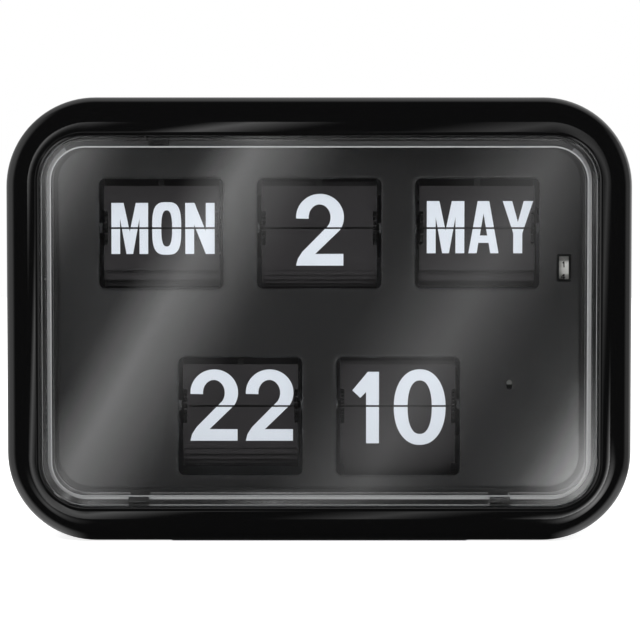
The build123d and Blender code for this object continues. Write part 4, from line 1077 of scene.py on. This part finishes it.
def build_world():
    """White background for the camera, an even dim fill, and a studio that shows only in reflections.

    The studio is bright behind and above the clock and in the low corners, grey at both sides, dark in front.
    """
    world = bpy.data.worlds.new("studio")
    world.use_nodes = True
    tree = world.node_tree
    background = tree.nodes["Background"]
    path = tree.nodes.new("ShaderNodeLightPath")
    place = tree.nodes.new("ShaderNodeTexCoord")
    parts = tree.nodes.new("ShaderNodeSeparateXYZ")
    tree.links.new(place.outputs["Generated"], parts.inputs[0])
    x, y, z = parts.outputs
    behind = product(
        tree,
        soft_ramp(tree, y, BACK_SPAN_Y, 0, BACK_GLOW),
        soft_ramp(tree, z, BACK_SPAN_Z, 0, 1),
        soft_ramp(tree, x, BACK_SPAN_X, *BACK_SIDE_SHARES),
    )
    beside = soft_ramp(tree, y, SIDE_SPAN_Y, 0, 1)
    left = product(tree, soft_ramp(tree, x, LEFT_SPAN_X, 0, LEFT_GLOW), beside)
    right = product(tree, soft_ramp(tree, x, RIGHT_SPAN_X, 0, RIGHT_GLOW), beside)
    above = product(tree, soft_ramp(tree, z, TOP_SPAN_Z, 0, TOP_GLOW), soft_ramp(tree, y, TOP_SPAN_Y, 0, 1))
    sideways = math_node(tree, "ABSOLUTE", x, 0)
    low_corner = math_node(tree, "MINIMUM", sideways, product(tree, z, -1))
    corner = product(tree, soft_ramp(tree, low_corner, CORNER_SPAN, 0, CORNER_GLOW), beside)
    studio = WORLD_FRONT
    for light in (behind, left, right, above, corner):
        studio = math_node(tree, "MAXIMUM", light, studio)
    reflected = product(tree, mirrored_rays(tree, path), studio)
    fill = product(tree, path.outputs["Is Diffuse Ray"], WORLD_FILL)
    indirect = math_node(tree, "MAXIMUM", reflected, fill)
    strength = math_node(tree, "MAXIMUM", path.outputs["Is Camera Ray"], indirect)
    tree.links.new(strength, background.inputs["Strength"])
    background.inputs["Color"].default_value = WHITE
    bpy.context.scene.world = world


build_world()

# Cards in front of the clock that show only as reflections: stripes of window light in the lens and the case,
# and round glows in the lower corners of the case. Their places are given as the camera sees them in the lens
CARD_Y = -2.2
CARD_GAP = 0.01
LENS_CARD_SHARE = 3.6
CASE_CARD_SHARE = 1.0
LENS_MIRROR_SHARE = 0.084
CASE_MIRROR_SHARE = 0.05
MIRROR_EYE = Vector((camera.location.x, 2 * LENS_FRONT_Y - camera.location.y, camera.location.z))
CARD_REACH = (MIRROR_EYE.y - CARD_Y) / (MIRROR_EYE.y - LENS_FRONT_Y)
STRIPE_ACROSS = Vector((0.868, 0, -0.4965))
# Start, peak and end in metres across the lens from its upper left corner, powers of rise and fade, and glow
STRIPES = (
    (0.0, 0.010, 0.051, 1.0, 2.2, 0.165),
    (0.0762, 0.1013, 0.1466, 1.4, 1.6, 0.118),
    (0.193, 0.241, 0.2826, 1.5, 1.6, 0.057),
    (0.304, 0.3413, 0.4, 2.4, 1.0, 0.37),
)
# Name, x and z of the middle and reach in metres, power of the fade, and glow
CORNER_GLOWS = (
    ("left_corner_card", -0.1624, -0.003, 0.045, 1.5, 0.055),
    ("right_corner_card", 0.168, 0.0035, 0.054, 1.5, 0.19),
)


def mirrored_on_card(x, z):
    """Place on the card plane that a spot on the lens, given by x and z, shows to the camera."""
    spot = Vector((x, LENS_FRONT_Y, z))
    return MIRROR_EYE + (spot - MIRROR_EYE) * CARD_REACH


def card_material(name):
    """Material that glows and lets through what is behind it, with its node tree and its glow socket."""
    material, tree, shader = new_material(name)
    tree.nodes.remove(shader)
    glow = tree.nodes.new("ShaderNodeEmission")
    show_surface(tree, "ShaderNodeAddShader", glow.outputs[0], clear_shader(tree))
    return material, tree, glow.inputs["Strength"]


def corner_material(centre, reach, power, strength):
    """Round glow that fades from its centre to its reach."""
    material, tree, glow = card_material("corner_card")
    away = vector_node(tree, "DISTANCE", own_place(tree), centre)
    fade = power_ramp(tree, away, reach * CARD_REACH, 0, power)
    tree.links.new(product(tree, fade, strength / CASE_MIRROR_SHARE), glow)
    return material


def stripe_material(corner):
    """Glow in stripes, measured across the card from the corner given."""
    material, tree, glow = card_material("stripe_card")
    across = vector_node(tree, "DOT_PRODUCT", own_place(tree), STRIPE_ACROSS / CARD_REACH)
    way = math_node(tree, "SUBTRACT", across, corner.dot(STRIPE_ACROSS) / CARD_REACH)
    total = 0.0
    for start, peak, end, rise_power, fade_power, strength in STRIPES:
        rise = power_ramp(tree, way, start, peak, rise_power)
        fade = power_ramp(tree, way, end, peak, fade_power)
        total = math_node(tree, "ADD", product(tree, rise, fade, strength / LENS_MIRROR_SHARE), total)
    tree.links.new(total, glow)
    return material


def add_card(name, middle, half_size, material, mirror):
    """Card that covers part of what the lens plane mirrors to the camera; only the mirror piece shows it."""
    corners = []
    for side, rise in SQUARE:
        corners.append(mirrored_on_card(middle[0] + side * half_size[0], middle[1] + rise * half_size[1]))
    card = link_object(name, card_mesh(name, corners, material))
    card.visible_camera = False
    card.visible_diffuse = False
    card.visible_shadow = False
    shown_in = bpy.data.collections.new(f"{name}_mirror")
    shown_in.objects.link(mirror)
    card.light_linking.receiver_collection = shown_in
    return card


def add_stripe_card(name, spread_share, mirror):
    """Striped card that covers a share of what the lens mirrors to the camera."""
    width, height, _, mid_z = LENS_OUTLINE
    half_size = (width / 2 * spread_share, height / 2 * spread_share)
    material = stripe_material(mirrored_on_card(-width / 2, mid_z + height / 2))
    return add_card(name, (0, mid_z), half_size, material, mirror)


add_stripe_card("lens_card", LENS_CARD_SHARE, LENS)
add_stripe_card("case_card", CASE_CARD_SHARE, CASE).location.y = CARD_GAP
for card_name, card_x, card_z, card_reach, card_power, card_glow in CORNER_GLOWS:
    card_finish = corner_material(mirrored_on_card(card_x, card_z), card_reach, card_power, card_glow)
    corner_card = add_card(card_name, (card_x, card_z), (card_reach, card_reach), card_finish, CASE)
    corner_card.location.y = 2 * CARD_GAP

# Softboxes: name, place and size in metres, and power in watts
LAMPS = (
    ("key_lamp", (-1.1, -1.7, 1.5), 0.9, 32),
    ("fill_lamp", (1.5, -1.4, 0.9), 1.2, 16),
    ("rear_lamp", (0.4, 2.0, 1.6), 1.2, 22),
)


def add_lamp(name, place, size, power):
    """Softbox aimed at the clock that lights it without showing as a reflection."""
    data = bpy.data.lights.new(name, "AREA")
    data.shape = "RECTANGLE"
    data.size = size
    data.size_y = size
    data.energy = power
    lamp = link_object(name, data)
    lamp.location = place
    lamp.rotation_euler = turn_to_clock(Vector(place))
    lamp.visible_glossy = False
    lamp.visible_transmission = False


for softbox in LAMPS:
    add_lamp(*softbox)

bpy.context.scene.view_settings.view_transform = "Standard"
